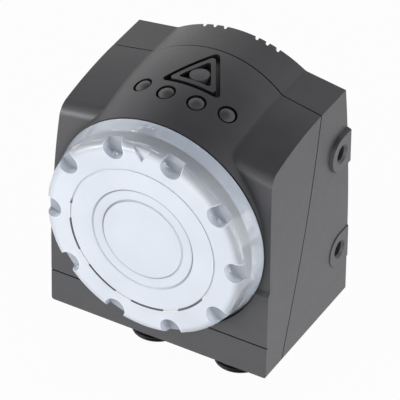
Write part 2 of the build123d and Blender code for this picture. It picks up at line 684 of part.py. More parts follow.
# Rear half of the housing
def make_rear_housing(outer, inner):
    behind = joint_side(JOINT_GAP / 2, False)
    body = (outer - inner) & behind
    for z in (PAD_LOW_Z, PAD_LOW_Z + PAD_SPACING):
        pad = side_pad(z)
        thread = side_thread(z)
        body += pad + mirror(pad, Plane.YZ)
        body -= thread + mirror(thread, Plane.YZ)
    for x, z in four_corners(COVER_SCREW_LOW, COVER_SCREW_HIGH):
        column = rod_y(COLUMN_RADIUS, x, z, CHIN_FOOT_Y, REAR_Y - COLUMN_INSET) & outer & behind
        body += column
        body -= rod_y(COVER_SCREW[0] + SCREW_CLEARANCE, x, z, CHIN_FOOT_Y, REAR_Y)
        body -= rod_y(COVER_SCREW[1] + SCREW_CLEARANCE, x, z, REAR_INNER_Y, REAR_Y)
    # Bore and boss of the focus screw
    boss_y = REAR_Y - FOCUS_BORE_DEPTH - FOCUS_BOSS_FLOOR
    body += rod_y(FOCUS_BOSS_RADIUS, 0, FOCUS_Z, boss_y, REAR_INNER_Y + FUSE)
    body -= rod_y(FOCUS_SHAFT_RADIUS + RUN_CLEARANCE, 0, FOCUS_Z, boss_y, REAR_Y)
    body -= rod_y(FOCUS_HEAD_RADIUS + RUN_CLEARANCE, 0, FOCUS_Z, REAR_Y - FOCUS_BORE_DEPTH, REAR_Y)
    # Pedestal that takes the processor's heat through the pad
    pedestal_y = CHIP_Y + CHIP_THICKNESS + PAD_THICKNESS
    half_chip = CHIP_SIZE / 2
    pedestal_low = (-half_chip, pedestal_y, AXIS_Z - half_chip)
    body += block(pedestal_low, (half_chip, REAR_INNER_Y, AXIS_Z + half_chip))
    # Cooling grooves, open at the top of the hump
    for number in range(GROOVE_COUNT):
        x = GROOVE_FIRST_X + number * GROOVE_PITCH
        half_groove = GROOVE_WIDTH / 2
        groove = block((x - half_groove, REAR_Y - GROOVE_DEPTH, GROOVE_FOOT_Z), (x + half_groove, FAR, FAR))
        body -= groove + mirror(groove, Plane.YZ)
    for side in (-1, 1):
        x = side * CONNECTOR_X
        body -= rod(THREAD_RADIUS + STEM_CLEARANCE, (x, 0, -FUSE), (x, 0, WALL + FUSE))
    return body


# Gasket loop in the slanted joint
def make_housing_seal():
    loop = sealed_block(SEAL_INSET) - sealed_block(SEAL_INSET + SEAL_WIDTH)
    return loop & joint_slab()


# Housing block at an inset, without rounds
def sealed_block(inset):
    right = half_block(inset)
    return right + mirror(right, Plane.YZ) + hump_block(inset)


# Clear optics cover with neck, lugs and grip recesses
def make_optics_cover():
    face_radius = COVER_RIM_RADIUS - COVER_RIM_ROUND
    rim_y = COVER_Y + COVER_RIM_ROUND
    front = Line((0, COVER_Y), (face_radius, COVER_Y))
    rim = TangentArc((face_radius, COVER_Y), (COVER_RIM_RADIUS, rim_y), tangent=(1, 0))
    rest = Polyline(
        (COVER_RIM_RADIUS, rim_y),
        (COVER_BACK_RADIUS, COVER_BACK_Y),
        (NECK_RADIUS, COVER_BACK_Y),
        (NECK_RADIUS, NECK_END_Y),
        (NECK_BORE, NECK_END_Y),
        (NECK_BORE, COVER_INNER_Y),
        (0, COVER_INNER_Y),
        (0, COVER_Y),
    )
    outline = AXIS_PLANE * make_face([front, rim, *rest.edges()])
    body = revolve(outline, OPTICAL_AXIS)
    for number in range(LUG_COUNT):
        angle = FIRST_LUG_ANGLE + number * 360 / LUG_COUNT
        lug_y = NECK_END_Y - LUG_THICKNESS
        body += ring_sector(NECK_RADIUS - FUSE, LUG_RADIUS, lug_y, NECK_END_Y, angle, LUG_ANGLE)
    for number in range(GRIP_COUNT):
        angle = (number + 0.5) * 360 / GRIP_COUNT
        mouth = clock(GRIP_PITCH_RADIUS, angle, COVER_Y - FUSE)
        body -= rod(GRIP_RADIUS, mouth, clock(GRIP_PITCH_RADIUS, angle, COVER_Y + GRIP_DEPTH))
    # Index mark that points to the optical axis
    mark = Polyline(
        (-INDEX_HALF_WIDTH, INDEX_BASE_RADIUS),
        (INDEX_HALF_WIDTH, INDEX_BASE_RADIUS),
        (0, INDEX_BASE_RADIUS - INDEX_LENGTH),
        close=True,
    )
    mark_plane = Plane(origin=(0, COVER_Y + INDEX_DEPTH, AXIS_Z), x_dir=(1, 0, 0), z_dir=(0, -1, 0))
    body -= extrude(mark_plane * make_face(mark), INDEX_DEPTH + FUSE)
    # Fine line over the neck's bore, and a shallow ring with sloping sides over the baffle
    half_line = FACE_LINE_WIDTH / 2
    body -= ring(NECK_BORE - half_line, NECK_BORE + half_line, COVER_Y - FUSE, COVER_Y + FACE_LINE_DEPTH)
    ring_floor = COVER_Y + FACE_RING_DEPTH
    return body - turned([
        (BAFFLE_BORE - FACE_RING_SLOPE, COVER_Y),
        (BAFFLE_RADIUS + FACE_RING_SLOPE, COVER_Y),
        (BAFFLE_RADIUS, ring_floor),
        (BAFFLE_BORE, ring_floor),
    ])


# Gasket between bezel and optics cover
def make_cover_seal():
    half_seal = COVER_SEAL_WIDTH / 2
    return ring(
        COVER_SEAL_RADIUS - half_seal, COVER_SEAL_RADIUS + half_seal,
        BEZEL_Y - COVER_SEAL_PROUD, BEZEL_Y + COVER_SEAL_DEPTH,
    )


# Tube that keeps the ring light out of the lens, with a step for the diffuser
def make_light_baffle():
    step_y = DIFFUSER_Y + DIFFUSER_THICKNESS
    step_radius = BAFFLE_RADIUS + BAFFLE_STEP
    return turned([
        (BAFFLE_BORE, BAFFLE_Y),
        (BAFFLE_RADIUS, BAFFLE_Y),
        (BAFFLE_RADIUS, step_y),
        (step_radius, step_y),
        (step_radius, step_y + BAFFLE_STEP_THICKNESS),
        (BAFFLE_RADIUS, step_y + BAFFLE_STEP_THICKNESS),
        (BAFFLE_RADIUS, FRAME_Y),
        (BAFFLE_BORE, FRAME_Y),
    ])


# Diffuser ring, light board and its light-emitting diodes
def make_ring_light():
    inner = BAFFLE_RADIUS + RING_CLEARANCE
    diffuser_back = DIFFUSER_Y + DIFFUSER_THICKNESS
    diffuser = ring(BAFFLE_RADIUS + DIFFUSER_GAP, DIFFUSER_RADIUS, DIFFUSER_Y, diffuser_back)
    board_back = FRAME_Y - FRAME_STEP
    board_front = board_back - LIGHT_BOARD
    board = ring(inner, DIFFUSER_RADIUS, board_front, board_back)
    diodes = []
    pitch_radius = (inner + DIFFUSER_RADIUS) / 2
    standing = (Align.CENTER, Align.CENTER, Align.MIN)
    diode = Box(LED_SIZE, LED_SIZE, LED_BASE, align=standing)
    diode += Pos(0, 0, LED_BASE) * Cone(LED_DOME_FOOT, LED_DOME_TOP, LED_DOME, align=standing)
    place = Plane(origin=(0, board_front, AXIS_Z), x_dir=(0, 0, 1), z_dir=(0, -1, 0))
    for number in range(LED_COUNT):
        diodes.append(place * Rot(0, 0, number * 360 / LED_COUNT) * Pos(pitch_radius, 0, 0) * diode)
    return diffuser, board, group(diodes)


# Places of the posts that carry the gear's retainer, as (x, z)
def retainer_places():
    angles = [FIRST_POST_ANGLE + number * 360 / RETAINER_POSTS for number in range(RETAINER_POSTS)]
    return [clock(RETAINER_POST_PITCH, angle, 0)[::2] for angle in angles]


# Carrier for lens, ring light, gear and boards
def make_optics_frame():
    half = FRAME_HALF_WIDTH
    plate = block((-half, FRAME_Y, FRAME_FOOT_Z), (half, FRAME_BACK_Y, FRAME_TOP_Z))
    plate = fillet(plate.edges().filter_by(Axis.Y), FRAME_CORNER)
    tab_top = FOCUS_Z + FRAME_TAB_MARGIN
    plate += block((-FRAME_TAB_HALF, FRAME_Y, FRAME_TOP_Z - FUSE), (FRAME_TAB_HALF, FRAME_BACK_Y, tab_top))
    body = plate + ring(BAFFLE_RADIUS + RING_CLEARANCE, DIFFUSER_RADIUS, FRAME_Y - FRAME_STEP, FRAME_Y)
    body += ring(0, FRAME_TUBE_RADIUS, FRAME_Y - FRAME_TUBE_LENGTH, FRAME_Y)
    bore = ring(0, BARREL_RADIUS + RUN_CLEARANCE, COVER_Y, FRAME_BACK_Y)
    body -= bore - barrel_key(-RUN_CLEARANCE, FRAME_Y - FRAME_TUBE_LENGTH, FRAME_BACK_Y)
    tip_y = RETAINER_BACK_Y - RETAINER_SCREW_LENGTH - TIP_GAP
    for x, z in retainer_places():
        body += rod_y(RETAINER_POST_RADIUS, x, z, FRAME_BACK_Y, RETAINER_Y)
        body -= rod_y(TINY_SCREW[0] + THREAD_GAP, x, z, tip_y, RETAINER_Y)
    tip_y = SENSOR_BOARD_Y - BOARD_SCREW_BITE - TIP_GAP
    for x, z in four_corners(POST_LOW, POST_HIGH):
        body += rod_y(POST_RADIUS, x, z, FRAME_BACK_Y, SENSOR_BOARD_Y)
        body -= rod_y(SMALL_SCREW[0] + THREAD_GAP, x, z, tip_y, SENSOR_BOARD_Y)
    for x, z in four_corners(OPTICS_SCREW_LOW, OPTICS_SCREW_HIGH):
        body -= rod_y(SMALL_SCREW[0] + SCREW_CLEARANCE, x, z, FRAME_Y, FRAME_BACK_Y)
    return body - rod_y(FOCUS_PIVOT_RADIUS + RUN_CLEARANCE, 0, FOCUS_Z, FRAME_Y, FRAME_BACK_Y)


# Rib that stops the barrel from turning, or the slot for it when grown by a clearance
def barrel_key(growth, y_from, y_to):
    half = KEY_WIDTH / 2 + growth
    floor = AXIS_Z - BARREL_RADIUS + KEY_DEPTH + growth
    return block((-half, y_from, AXIS_Z - BARREL_RADIUS - FUSE), (half, y_to, floor))


# Lens barrel, which slides on the optical axis
def make_lens_barrel():
    end_y = BARREL_Y + BARREL_LENGTH
    stop_y = BARREL_Y + FRONT_BORE_DEPTH
    body = turned([
        (BARREL_FRONT_BORE, BARREL_Y),
        (BARREL_RADIUS, BARREL_Y),
        (BARREL_RADIUS, end_y),
        (BARREL_REAR_BORE, end_y),
        (BARREL_REAR_BORE, stop_y + STOP_THICKNESS),
        (BARREL_STOP_BORE, stop_y + STOP_THICKNESS),
        (BARREL_STOP_BORE, stop_y),
        (BARREL_FRONT_BORE, stop_y),
    ])
    return body - barrel_key(RUN_CLEARANCE, BARREL_Y, end_y)


# Lens element with two domed faces
def lens_element(radius, y_from, y_to, bulge):
    ball = cap_radius(radius, bulge)
    body = rod_y(radius, 0, AXIS_Z, y_from, y_to)
    body &= Pos(0, y_from + ball, AXIS_Z) * Sphere(ball)
    return body & Pos(0, y_to - ball, AXIS_Z) * Sphere(ball)


# The two lens elements and the ring that holds the front one
def make_lenses():
    seat_y = BARREL_Y + FRONT_BORE_DEPTH
    front_y = seat_y - FRONT_LENS_THICKNESS
    front = lens_element(BARREL_FRONT_BORE - LENS_FIT, front_y, seat_y, FRONT_LENS_BULGE)
    rear_y = BARREL_Y + BARREL_LENGTH - REAR_LENS_RECESS
    rear = lens_element(BARREL_REAR_BORE - LENS_FIT, rear_y - REAR_LENS_THICKNESS, rear_y, REAR_LENS_BULGE)
    retainer = ring(
        BARREL_FRONT_BORE - LENS_RETAINER_WIDTH, BARREL_FRONT_BORE - THREAD_GAP,
        BARREL_Y, BARREL_Y + LENS_RETAINER_THICKNESS,
    )
    return front, rear, retainer


# Outline of an involute gear, three points to each side of a tooth
def gear_outline(teeth, addendum, first_tooth_angle):
    pitch_radius = MODULE * teeth / 2
    base_radius = pitch_radius * math.cos(math.radians(PRESSURE_ANGLE))
    root_radius = pitch_radius - DEDENDUM * MODULE
    tip_radius = pitch_radius + addendum * MODULE

    def involute(radius):
        if radius <= base_radius:
            return 0.0
        pressure = math.acos(base_radius / radius)
        return math.tan(pressure) - pressure

    half_tooth = (math.pi * MODULE / 2 - BACKLASH) / 2 / pitch_radius + involute(pitch_radius)
    flank_foot = max(root_radius, base_radius)
    radii = sorted({root_radius, flank_foot, pitch_radius, (pitch_radius + tip_radius) / 2, tip_radius})
    points = []
    for number in range(teeth):
        centre = math.radians(first_tooth_angle) + number * 2 * math.pi / teeth
        flank = [(radius, half_tooth - involute(radius)) for radius in radii]
        for radius, half in flank:
            points.append((radius * math.cos(centre - half), radius * math.sin(centre - half)))
        for radius, half in reversed(flank):
            points.append((radius * math.cos(centre + half), radius * math.sin(centre + half)))
    return make_face(Polyline(*points, close=True))


# Extruded gear about an axis along Y, with its outline turned in the XZ plane
def gear_body(outline, z, y_from, width):
    place = Plane(origin=(0, y_from, z), x_dir=(0, 0, 1), z_dir=(0, 1, 0))
    return extrude(place * outline, width)


# Geared nut round the barrel
def make_focus_gear():
    body = gear_body(gear_outline(GEAR_TEETH, GEAR_ADDENDUM, 0), AXIS_Z, GEAR_Y, GEAR_WIDTH)
    return body - ring(0, BARREL_RADIUS + RUN_CLEARANCE, GEAR_Y - FUSE, GEAR_BACK_Y + FUSE)


# Plate that holds the geared nut against the frame
def make_gear_retainer():
    body = ring(RETAINER_BORE, GEAR_PITCH_RADIUS + RETAINER_EDGE, RETAINER_Y, RETAINER_BACK_Y)
    screws = []
    for x, z in retainer_places():
        body += rod_y(RETAINER_POST_RADIUS + RETAINER_EAR, x, z, RETAINER_Y, RETAINER_BACK_Y)
        body -= rod_y(TINY_SCREW[0] + SCREW_CLEARANCE, x, z, RETAINER_Y, RETAINER_BACK_Y)
        screws.append(screw(TINY_SCREW, (x, RETAINER_BACK_Y, z), (0, -1, 0), RETAINER_SCREW_LENGTH))
    return body, group(screws)


# Focus screw: slotted head, shaft and pinion in one piece, and its ring seal
def make_focus_screw():
    head_y = REAR_Y - FOCUS_HEAD_SUNK
    pinion_y = GEAR_Y + GEAR_GAP
    pinion_width = GEAR_WIDTH - 2 * GEAR_GAP
    half_tooth_angle = 180 / PINION_TEETH
    pinion = gear_outline(PINION_TEETH, PINION_ADDENDUM, 180 + half_tooth_angle)
    body = gear_body(pinion, FOCUS_Z, pinion_y, pinion_width)
    body += rod_y(FOCUS_SHAFT_RADIUS, 0, FOCUS_Z, pinion_y + FUSE, head_y - FUSE)
    body += rod_y(FOCUS_PIVOT_RADIUS, 0, FOCUS_Z, FRAME_Y + FOCUS_PIVOT_GAP, pinion_y + FUSE)
    body += rod_y(FOCUS_HEAD_RADIUS, 0, FOCUS_Z, head_y - FOCUS_HEAD, head_y)
    half_slot = FOCUS_SLOT / 2
    slot_low = (-FOCUS_HEAD_RADIUS, head_y - FOCUS_SLOT_DEPTH, FOCUS_Z - half_slot)
    body -= block(slot_low, (FOCUS_HEAD_RADIUS, head_y, FOCUS_Z + half_slot))
    seal_y = REAR_Y - FOCUS_BORE_DEPTH
    seal = rod_y(FOCUS_HEAD_RADIUS, 0, FOCUS_Z, seal_y, seal_y + FOCUS_SEAL)
    seal -= rod_y(FOCUS_SHAFT_RADIUS + RUN_CLEARANCE, 0, FOCUS_Z, seal_y, seal_y + FOCUS_SEAL)
    return body, seal


# Boards, spacers, screws, chips and plugs behind the lens
def make_boards():
    half = BOARD_HALF_WIDTH
    places = four_corners(POST_LOW, POST_HIGH)
    boards = []
    for front_y in (SENSOR_BOARD_Y, MAIN_BOARD_Y):
        board = block((-half, front_y, BOARD_FOOT_Z), (half, front_y + BOARD_THICKNESS, BOARD_TOP_Z))
        for x, z in places:
            board -= rod_y(SMALL_SCREW[0] + SCREW_CLEARANCE, x, z, front_y, front_y + BOARD_THICKNESS)
        boards.append(board)
    spacer_y = SENSOR_BOARD_Y + BOARD_THICKNESS
    spacers = []
    screws = []
    for x, z in places:
        spacer = rod_y(POST_RADIUS, x, z, spacer_y, MAIN_BOARD_Y)
        spacers.append(spacer - rod_y(SMALL_SCREW[0] + SCREW_CLEARANCE, x, z, spacer_y, MAIN_BOARD_Y))
        length = CHIP_Y - SENSOR_BOARD_Y + BOARD_SCREW_BITE
        screws.append(screw(SMALL_SCREW, (x, CHIP_Y, z), (0, -1, 0), length))
    half_sensor = SENSOR_SIZE / 2
    sensor = block(
        (-half_sensor, SENSOR_BOARD_Y - SENSOR_THICKNESS, AXIS_Z - half_sensor),
        (half_sensor, SENSOR_BOARD_Y, AXIS_Z + half_sensor),
    )
    half_chip = CHIP_SIZE / 2
    low, high = AXIS_Z - half_chip, AXIS_Z + half_chip
    chip = block((-half_chip, CHIP_Y, low), (half_chip, CHIP_Y + CHIP_THICKNESS, high))
    pad_y = CHIP_Y + CHIP_THICKNESS
    pad = block((-half_chip, pad_y, low), (half_chip, pad_y + PAD_THICKNESS, high))
    link_z = BOARD_FOOT_Z + LINK_INSET
    link = block((-LINK_HALF_WIDTH, spacer_y, link_z), (LINK_HALF_WIDTH, MAIN_BOARD_Y, link_z + LINK_HEIGHT))
    return boards[0], boards[1], group(spacers), group(screws), sensor, chip, pad, link


# Small board over the connectors, and its plug to the main board
def make_connector_board():
    top_z = CONNECTOR_BOARD_Z + BOARD_THICKNESS
    half = BOARD_HALF_WIDTH
    board = block((-half, CONNECTOR_BOARD_FRONT, CONNECTOR_BOARD_Z), (half, CONNECTOR_BOARD_REAR, top_z))
    plug = block(
        (-IO_LINK_HALF_WIDTH, MAIN_BOARD_Y - IO_LINK_DEPTH, top_z),
        (IO_LINK_HALF_WIDTH, MAIN_BOARD_Y, BOARD_FOOT_Z + IO_LINK_GRIP),
    )
    return board, plug


# Body of revolution about a connector's own axis, from (radius, z) points
def connector_turned(x, points):
    place = Plane(origin=(x, 0, 0), x_dir=(1, 0, 0), z_dir=(0, -1, 0))
    return revolve(place * make_face(Polyline(*points, close=True)), Axis((x, 0, 0), (0, 0, 1)))


# Threaded shell, gasket and lock nut of a connector
def make_connector_shell(x):
    mouth_z = -CONNECTOR_LENGTH
    flange_top = -GASKET_THICKNESS
    shell = connector_turned(x, [
        (SHELL_BORE, mouth_z),
        (THREAD_RADIUS - THREAD_CHAMFER, mouth_z),
        (THREAD_RADIUS, mouth_z + THREAD_CHAMFER),
        (THREAD_RADIUS, flange_top - FLANGE_THICKNESS),
        (FLANGE_RADIUS, flange_top - FLANGE_THICKNESS),
        (FLANGE_RADIUS, flange_top),
        (THREAD_RADIUS, flange_top),
        (THREAD_RADIUS, STEM_HEIGHT),
        (SHELL_BORE, STEM_HEIGHT),
    ])
    gasket_bore = THREAD_RADIUS + STEM_CLEARANCE
    gasket_edge = FLANGE_RADIUS - GASKET_EDGE
    gasket = connector_turned(x, [
        (gasket_bore, flange_top), (gasket_edge, flange_top), (gasket_edge, 0), (gasket_bore, 0),
    ])
    nut = extrude(Pos(x, 0, WALL) * RegularPolygon(NUT_FLATS / 2, 6, major_radius=False), NUT_THICKNESS)
    nut -= rod(THREAD_RADIUS + THREAD_GAP, (x, 0, WALL), (x, 0, WALL + NUT_THICKNESS))
    return shell, gasket, nut


# Upright rods on circles round a connector's axis
def contact_rods(x, radius, z_from, z_to, circles):
    rods = []
    for count, pitch_radius in circles:
        for number in range(count):
            turn = 2 * math.pi * number / count
            px = x + pitch_radius * math.cos(turn)
            py = pitch_radius * math.sin(turn)
            rods.append(rod(radius, (px, py, z_from), (px, py, z_to)))
    return rods


# Plastic insert of a connector with holes for its contacts
def make_insert(x, face_depth, holes):
    face_z = -CONNECTOR_LENGTH + face_depth
    insert = rod(SHELL_BORE - INSERT_GAP, (x, 0, face_z), (x, 0, INSERT_TOP))
    for hole in holes:
        insert -= hole
    return insert


# Male contacts of the power connector, in a recess
def make_power_inside(x):
    circles = ((OUTER_PINS, OUTER_PIN_RADIUS), (INNER_PINS, INNER_PIN_RADIUS))
    tip_z = -CONNECTOR_LENGTH + PIN_RECESS
    pins = contact_rods(x, PIN_RADIUS, tip_z, CONNECTOR_BOARD_Z, circles)
    return make_insert(x, POWER_INSERT_DEPTH, pins), group(pins)


# Female contacts of the data connector, flush with the insert
def make_data_inside(x):
    circles = ((SOCKET_COUNT, SOCKET_PITCH_RADIUS),)
    face_z = -CONNECTOR_LENGTH + DATA_INSERT_DEPTH
    outers = contact_rods(x, SOCKET_RADIUS, face_z, CONNECTOR_BOARD_Z, circles)
    bores = contact_rods(x, SOCKET_BORE, face_z, face_z + SOCKET_DEPTH, circles)
    contacts = [outer - bore for outer, bore in zip(outers, bores)]
    return make_insert(x, DATA_INSERT_DEPTH, outers), group(contacts)


# Domed light pipe with a flange under the wall, its foot level with the board below
def make_status_light(index):
    seat, outward = light_place(index)
    foot_z = INDICATOR_TOP_Z + CHIP_LED[1] + LIGHT_FOOT_GAP
    inner_radius = HUMP_RADIUS - brow_fall(seat.Y) - WALL
    flange_top = -WALL - arc_fall(inner_radius, LIGHT_WELL_RADIUS) - UNDER_WALL_GAP
    flange_low = flange_top - LIGHT_FLANGE
    shoulder = LIGHT_PROUD - LIGHT_DOME
    half = LIGHT_RADIUS / 2
    bulge = LIGHT_PROUD - arc_fall(cap_radius(LIGHT_RADIUS, LIGHT_DOME), half)
    dome = ThreePointArc((LIGHT_RADIUS, shoulder), (half, bulge), (0, LIGHT_PROUD))
    stem = Polyline(
        (0, LIGHT_PROUD),
        (0, -LIGHT_LENGTH),
        (LIGHT_RADIUS, -LIGHT_LENGTH),
        (LIGHT_RADIUS, flange_low),
        (LIGHT_WELL_RADIUS, flange_low),
        (LIGHT_WELL_RADIUS, flange_top),
        (LIGHT_RADIUS, flange_top),
        (LIGHT_RADIUS, shoulder),
    )
    pipe = revolve(Plane.XZ * make_face([dome, *stem.edges()]), Axis.Z)
    pipe = Plane(origin=tuple(seat), z_dir=outward) * pipe
    return pipe & block((-FAR, -FAR, foot_z), (FAR, FAR, FAR))


# Round button with a flange under the wall and a stem over the switch
def make_trigger_button():
    flange_radius = BUTTON_RADIUS + BUTTON_FLANGE
    flange_top = hump_z(flange_radius, BUTTON_Y - flange_radius) - WALL - UNDER_WALL_GAP
    flange_low = flange_top - BUTTON_FLANGE_THICKNESS
    stem_low = INDICATOR_TOP_Z + SWITCH_HEIGHT + BUTTON_TRAVEL + UNDER_WALL_GAP
    dome_radius = cap_radius(BUTTON_RADIUS, BUTTON_DOME)
    top_z = hump_z(0, BUTTON_Y)
    body = rod(BUTTON_RADIUS, (0, BUTTON_Y, flange_low), (0, BUTTON_Y, top_z))
    body &= Pos(0, BUTTON_Y, top_z - dome_radius) * Sphere(dome_radius)
    body += rod(flange_radius, (0, BUTTON_Y, flange_low), (0, BUTTON_Y, flange_top))
    return body + rod(BUTTON_STEM_RADIUS, (0, BUTTON_Y, stem_low), (0, BUTTON_Y, flange_low))


# Board under the brow with its switch, small light sources and screws
def make_indicator_parts():
    top_z = INDICATOR_TOP_Z
    half = INDICATOR_BOARD_HALF
    board = block((-half, INDICATOR_BOARD_FRONT, INDICATOR_BOARD_Z), (half, INDICATOR_BOARD_REAR, top_z))
    screws = []
    for side in (-1, 1):
        x, y = side * INDICATOR_POST[0], INDICATOR_POST[1]
        board -= rod(TINY_SCREW[0] + SCREW_CLEARANCE, (x, y, INDICATOR_BOARD_Z), (x, y, top_z))
        screws.append(screw(TINY_SCREW, (x, y, INDICATOR_BOARD_Z), (0, 0, 1), INDICATOR_SCREW_LENGTH))
    half_switch = SWITCH_SIZE / 2
    switch = block(
        (-half_switch, BUTTON_Y - half_switch, top_z),
        (half_switch, BUTTON_Y + half_switch, top_z + SWITCH_HEIGHT),
    )
    chips = []
    half_chip = CHIP_LED[0] / 2
    for index in range(len(LIGHT_ANGLES)):
        seat, outward = light_place(index)
        foot = seat - outward * ((seat.Z - top_z) / outward.Z)
        low = (foot.X - half_chip, foot.Y - half_chip, top_z)
        chips.append(block(low, (foot.X + half_chip, foot.Y + half_chip, top_z + CHIP_LED[1])))
    return board, switch, group(chips), group(screws)


# Screws that join the housing halves, long ones below and short ones above
def make_cover_screws(place):
    x, z = place
    length = REAR_INNER_Y - parting_y(z) + COVER_SCREW_BITE
    seats = [(side * x, REAR_INNER_Y, z) for side in (-1, 1)]
    return group([screw(COVER_SCREW, seat, (0, -1, 0), length) for seat in seats])


# Screws that hold the optics frame to the front cover
def make_optics_screws():
    places = four_corners(OPTICS_SCREW_LOW, OPTICS_SCREW_HIGH)
    seats = [(x, FRAME_BACK_Y, z) for x, z in places]
    return group([screw(SMALL_SCREW, seat, (0, -1, 0), OPTICS_SCREW_LENGTH) for seat in seats])


# Every piece by its node name
def build():
    pieces = {}
    outer = outer_block()
    inner = inner_block()
    pieces["front_cover"] = make_front_cover(outer, inner)
    pieces["rear_housing"] = make_rear_housing(outer, inner)
    pieces["housing_seal"] = make_housing_seal()
    pieces["cover_screws_long"] = make_cover_screws(COVER_SCREW_LOW)
    pieces["cover_screws_short"] = make_cover_screws(COVER_SCREW_HIGH)
    pieces["optics_cover"] = make_optics_cover()
    pieces["cover_seal"] = make_cover_seal()
    pieces["light_baffle"] = make_light_baffle()
    pieces["ring_diffuser"], pieces["ring_light_board"], pieces["ring_leds"] = make_ring_light()
    pieces["optics_frame"] = make_optics_frame()
    pieces["optics_screws"] = make_optics_screws()
    pieces["lens_barrel"] = make_lens_barrel()
    pieces["lens_front_element"], pieces["lens_rear_element"], pieces["lens_retainer"] = make_lenses()
    pieces["focus_gear"] = make_focus_gear()
    pieces["gear_retainer"], pieces["retainer_screws"] = make_gear_retainer()
    pieces["focus_screw"], pieces["focus_screw_seal"] = make_focus_screw()
    (
        pieces["sensor_board"], pieces["main_board"], pieces["board_spacers"], pieces["board_screws"],
        pieces["image_sensor"], pieces["processor"], pieces["thermal_pad"], pieces["board_link"],
    ) = make_boards()
    pieces["connector_board"], pieces["io_link"] = make_connector_board()
    for name, x in (("power", -CONNECTOR_X), ("data", CONNECTOR_X)):
        shell, gasket, nut = make_connector_shell(x)
        pieces[name + "_connector_shell"] = shell
        pieces[name + "_connector_seal"] = gasket
        pieces[name + "_connector_nut"] = nut
    pieces["power_connector_insert"], pieces["power_connector_pins"] = make_power_inside(-CONNECTOR_X)
    pieces["data_connector_insert"], pieces["data_connector_contacts"] = make_data_inside(CONNECTOR_X)
    for index in range(len(LIGHT_ANGLES)):
        pieces["status_light_" + str(index + 1)] = make_status_light(index)
    pieces["trigger_button"] = make_trigger_button()
    (
        pieces["indicator_board"], pieces["tact_switch"], pieces["status_leds"], pieces["indicator_screws"],
    ) = make_indicator_parts()
    return pieces


os.makedirs("parts", exist_ok=True)
for node, shape in build().items():
    export_step(Pos(*ORIGIN_SHIFT) * shape, os.path.join("parts", node + ".step"))
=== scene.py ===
"""Finishes, threads and studio for a compact vision sensor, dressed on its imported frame.

The sensor stands on its two round connectors. Metres, +Z up, and the optics cover faces -Y.
"""

import logging
import math
from dataclasses import dataclass
from enum import Enum
from typing import Any, Optional

import bmesh
import bpy
from mathutils import Matrix, Vector

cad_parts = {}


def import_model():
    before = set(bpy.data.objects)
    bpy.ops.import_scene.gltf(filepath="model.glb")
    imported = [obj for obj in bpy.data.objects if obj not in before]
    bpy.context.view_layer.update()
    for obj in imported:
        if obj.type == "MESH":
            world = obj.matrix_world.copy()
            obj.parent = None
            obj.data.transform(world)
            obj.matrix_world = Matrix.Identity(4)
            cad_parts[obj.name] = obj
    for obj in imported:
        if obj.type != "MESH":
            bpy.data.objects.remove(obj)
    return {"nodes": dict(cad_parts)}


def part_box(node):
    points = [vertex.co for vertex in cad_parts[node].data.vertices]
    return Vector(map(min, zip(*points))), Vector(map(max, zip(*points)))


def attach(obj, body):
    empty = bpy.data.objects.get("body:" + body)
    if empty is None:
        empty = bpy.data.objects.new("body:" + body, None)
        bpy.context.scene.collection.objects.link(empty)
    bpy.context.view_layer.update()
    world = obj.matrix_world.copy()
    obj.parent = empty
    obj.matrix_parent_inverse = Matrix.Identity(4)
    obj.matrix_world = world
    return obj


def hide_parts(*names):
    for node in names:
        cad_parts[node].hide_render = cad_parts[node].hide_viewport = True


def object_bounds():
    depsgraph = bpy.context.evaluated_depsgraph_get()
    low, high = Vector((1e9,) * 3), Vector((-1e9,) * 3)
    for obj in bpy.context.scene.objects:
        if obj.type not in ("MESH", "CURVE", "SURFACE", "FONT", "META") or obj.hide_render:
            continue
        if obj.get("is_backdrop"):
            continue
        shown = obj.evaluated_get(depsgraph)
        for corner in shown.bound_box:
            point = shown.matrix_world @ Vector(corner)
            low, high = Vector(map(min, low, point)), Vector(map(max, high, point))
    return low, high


Tree = bpy.types.NodeTree
Socket = bpy.types.NodeSocket

LOG = logging.getLogger("sensor")
MM = 0.001
MERGE_DISTANCE = 1e-6
WHITE = "#FFFFFF"
# Range that holds most of a noise's values
NOISE_LOW = 0.3
NOISE_HIGH = 0.7
LEAST_ROUGHNESS = 0.02


def linear_channel(value: float) -> float:
    """One sRGB channel from 0 to 1 as linear light."""
    return value / 12.92 if value <= 0.04045 else ((value + 0.055) / 1.055) ** 2.4


def colour(hex_code: str) -> tuple[float, float, float, float]:
    """Turns an sRGB hex code to a linear colour.

    Args:
        hex_code: Six hex digits, with or without a leading hash.

    Returns:
        Red, green, blue and a full alpha.
    """
    digits = hex_code.lstrip("#")
    channels = [linear_channel(int(digits[i:i + 2], 16) / 255) for i in (0, 2, 4)]
    return (channels[0], channels[1], channels[2], 1.0)


def add_node(
    tree: Tree, kind: str, inputs: Optional[dict[Any, Any]] = None, **properties: Any,
) -> bpy.types.Node:
    """Adds a node with its settings and links.

    Args:
        tree: The node tree that the node goes into.
        kind: Blender's name of the node type.
        inputs: For each input's name or number, a constant or the output socket that feeds it.
        **properties: The node's own settings.

    Returns:
        The new node.
    """
    node = tree.nodes.new(kind)
    for name, value in properties.items():
        setattr(node, name, value)
    for name, value in (inputs or {}).items():
        if isinstance(value, Socket):
            tree.links.new(value, node.inputs[name])
        else:
            node.inputs[name].default_value = value
    return node


class Connector(Enum):
    """The two round connectors, each with the node of its shell."""

    POWER = "power_connector_shell"
    DATA = "data_connector_shell"


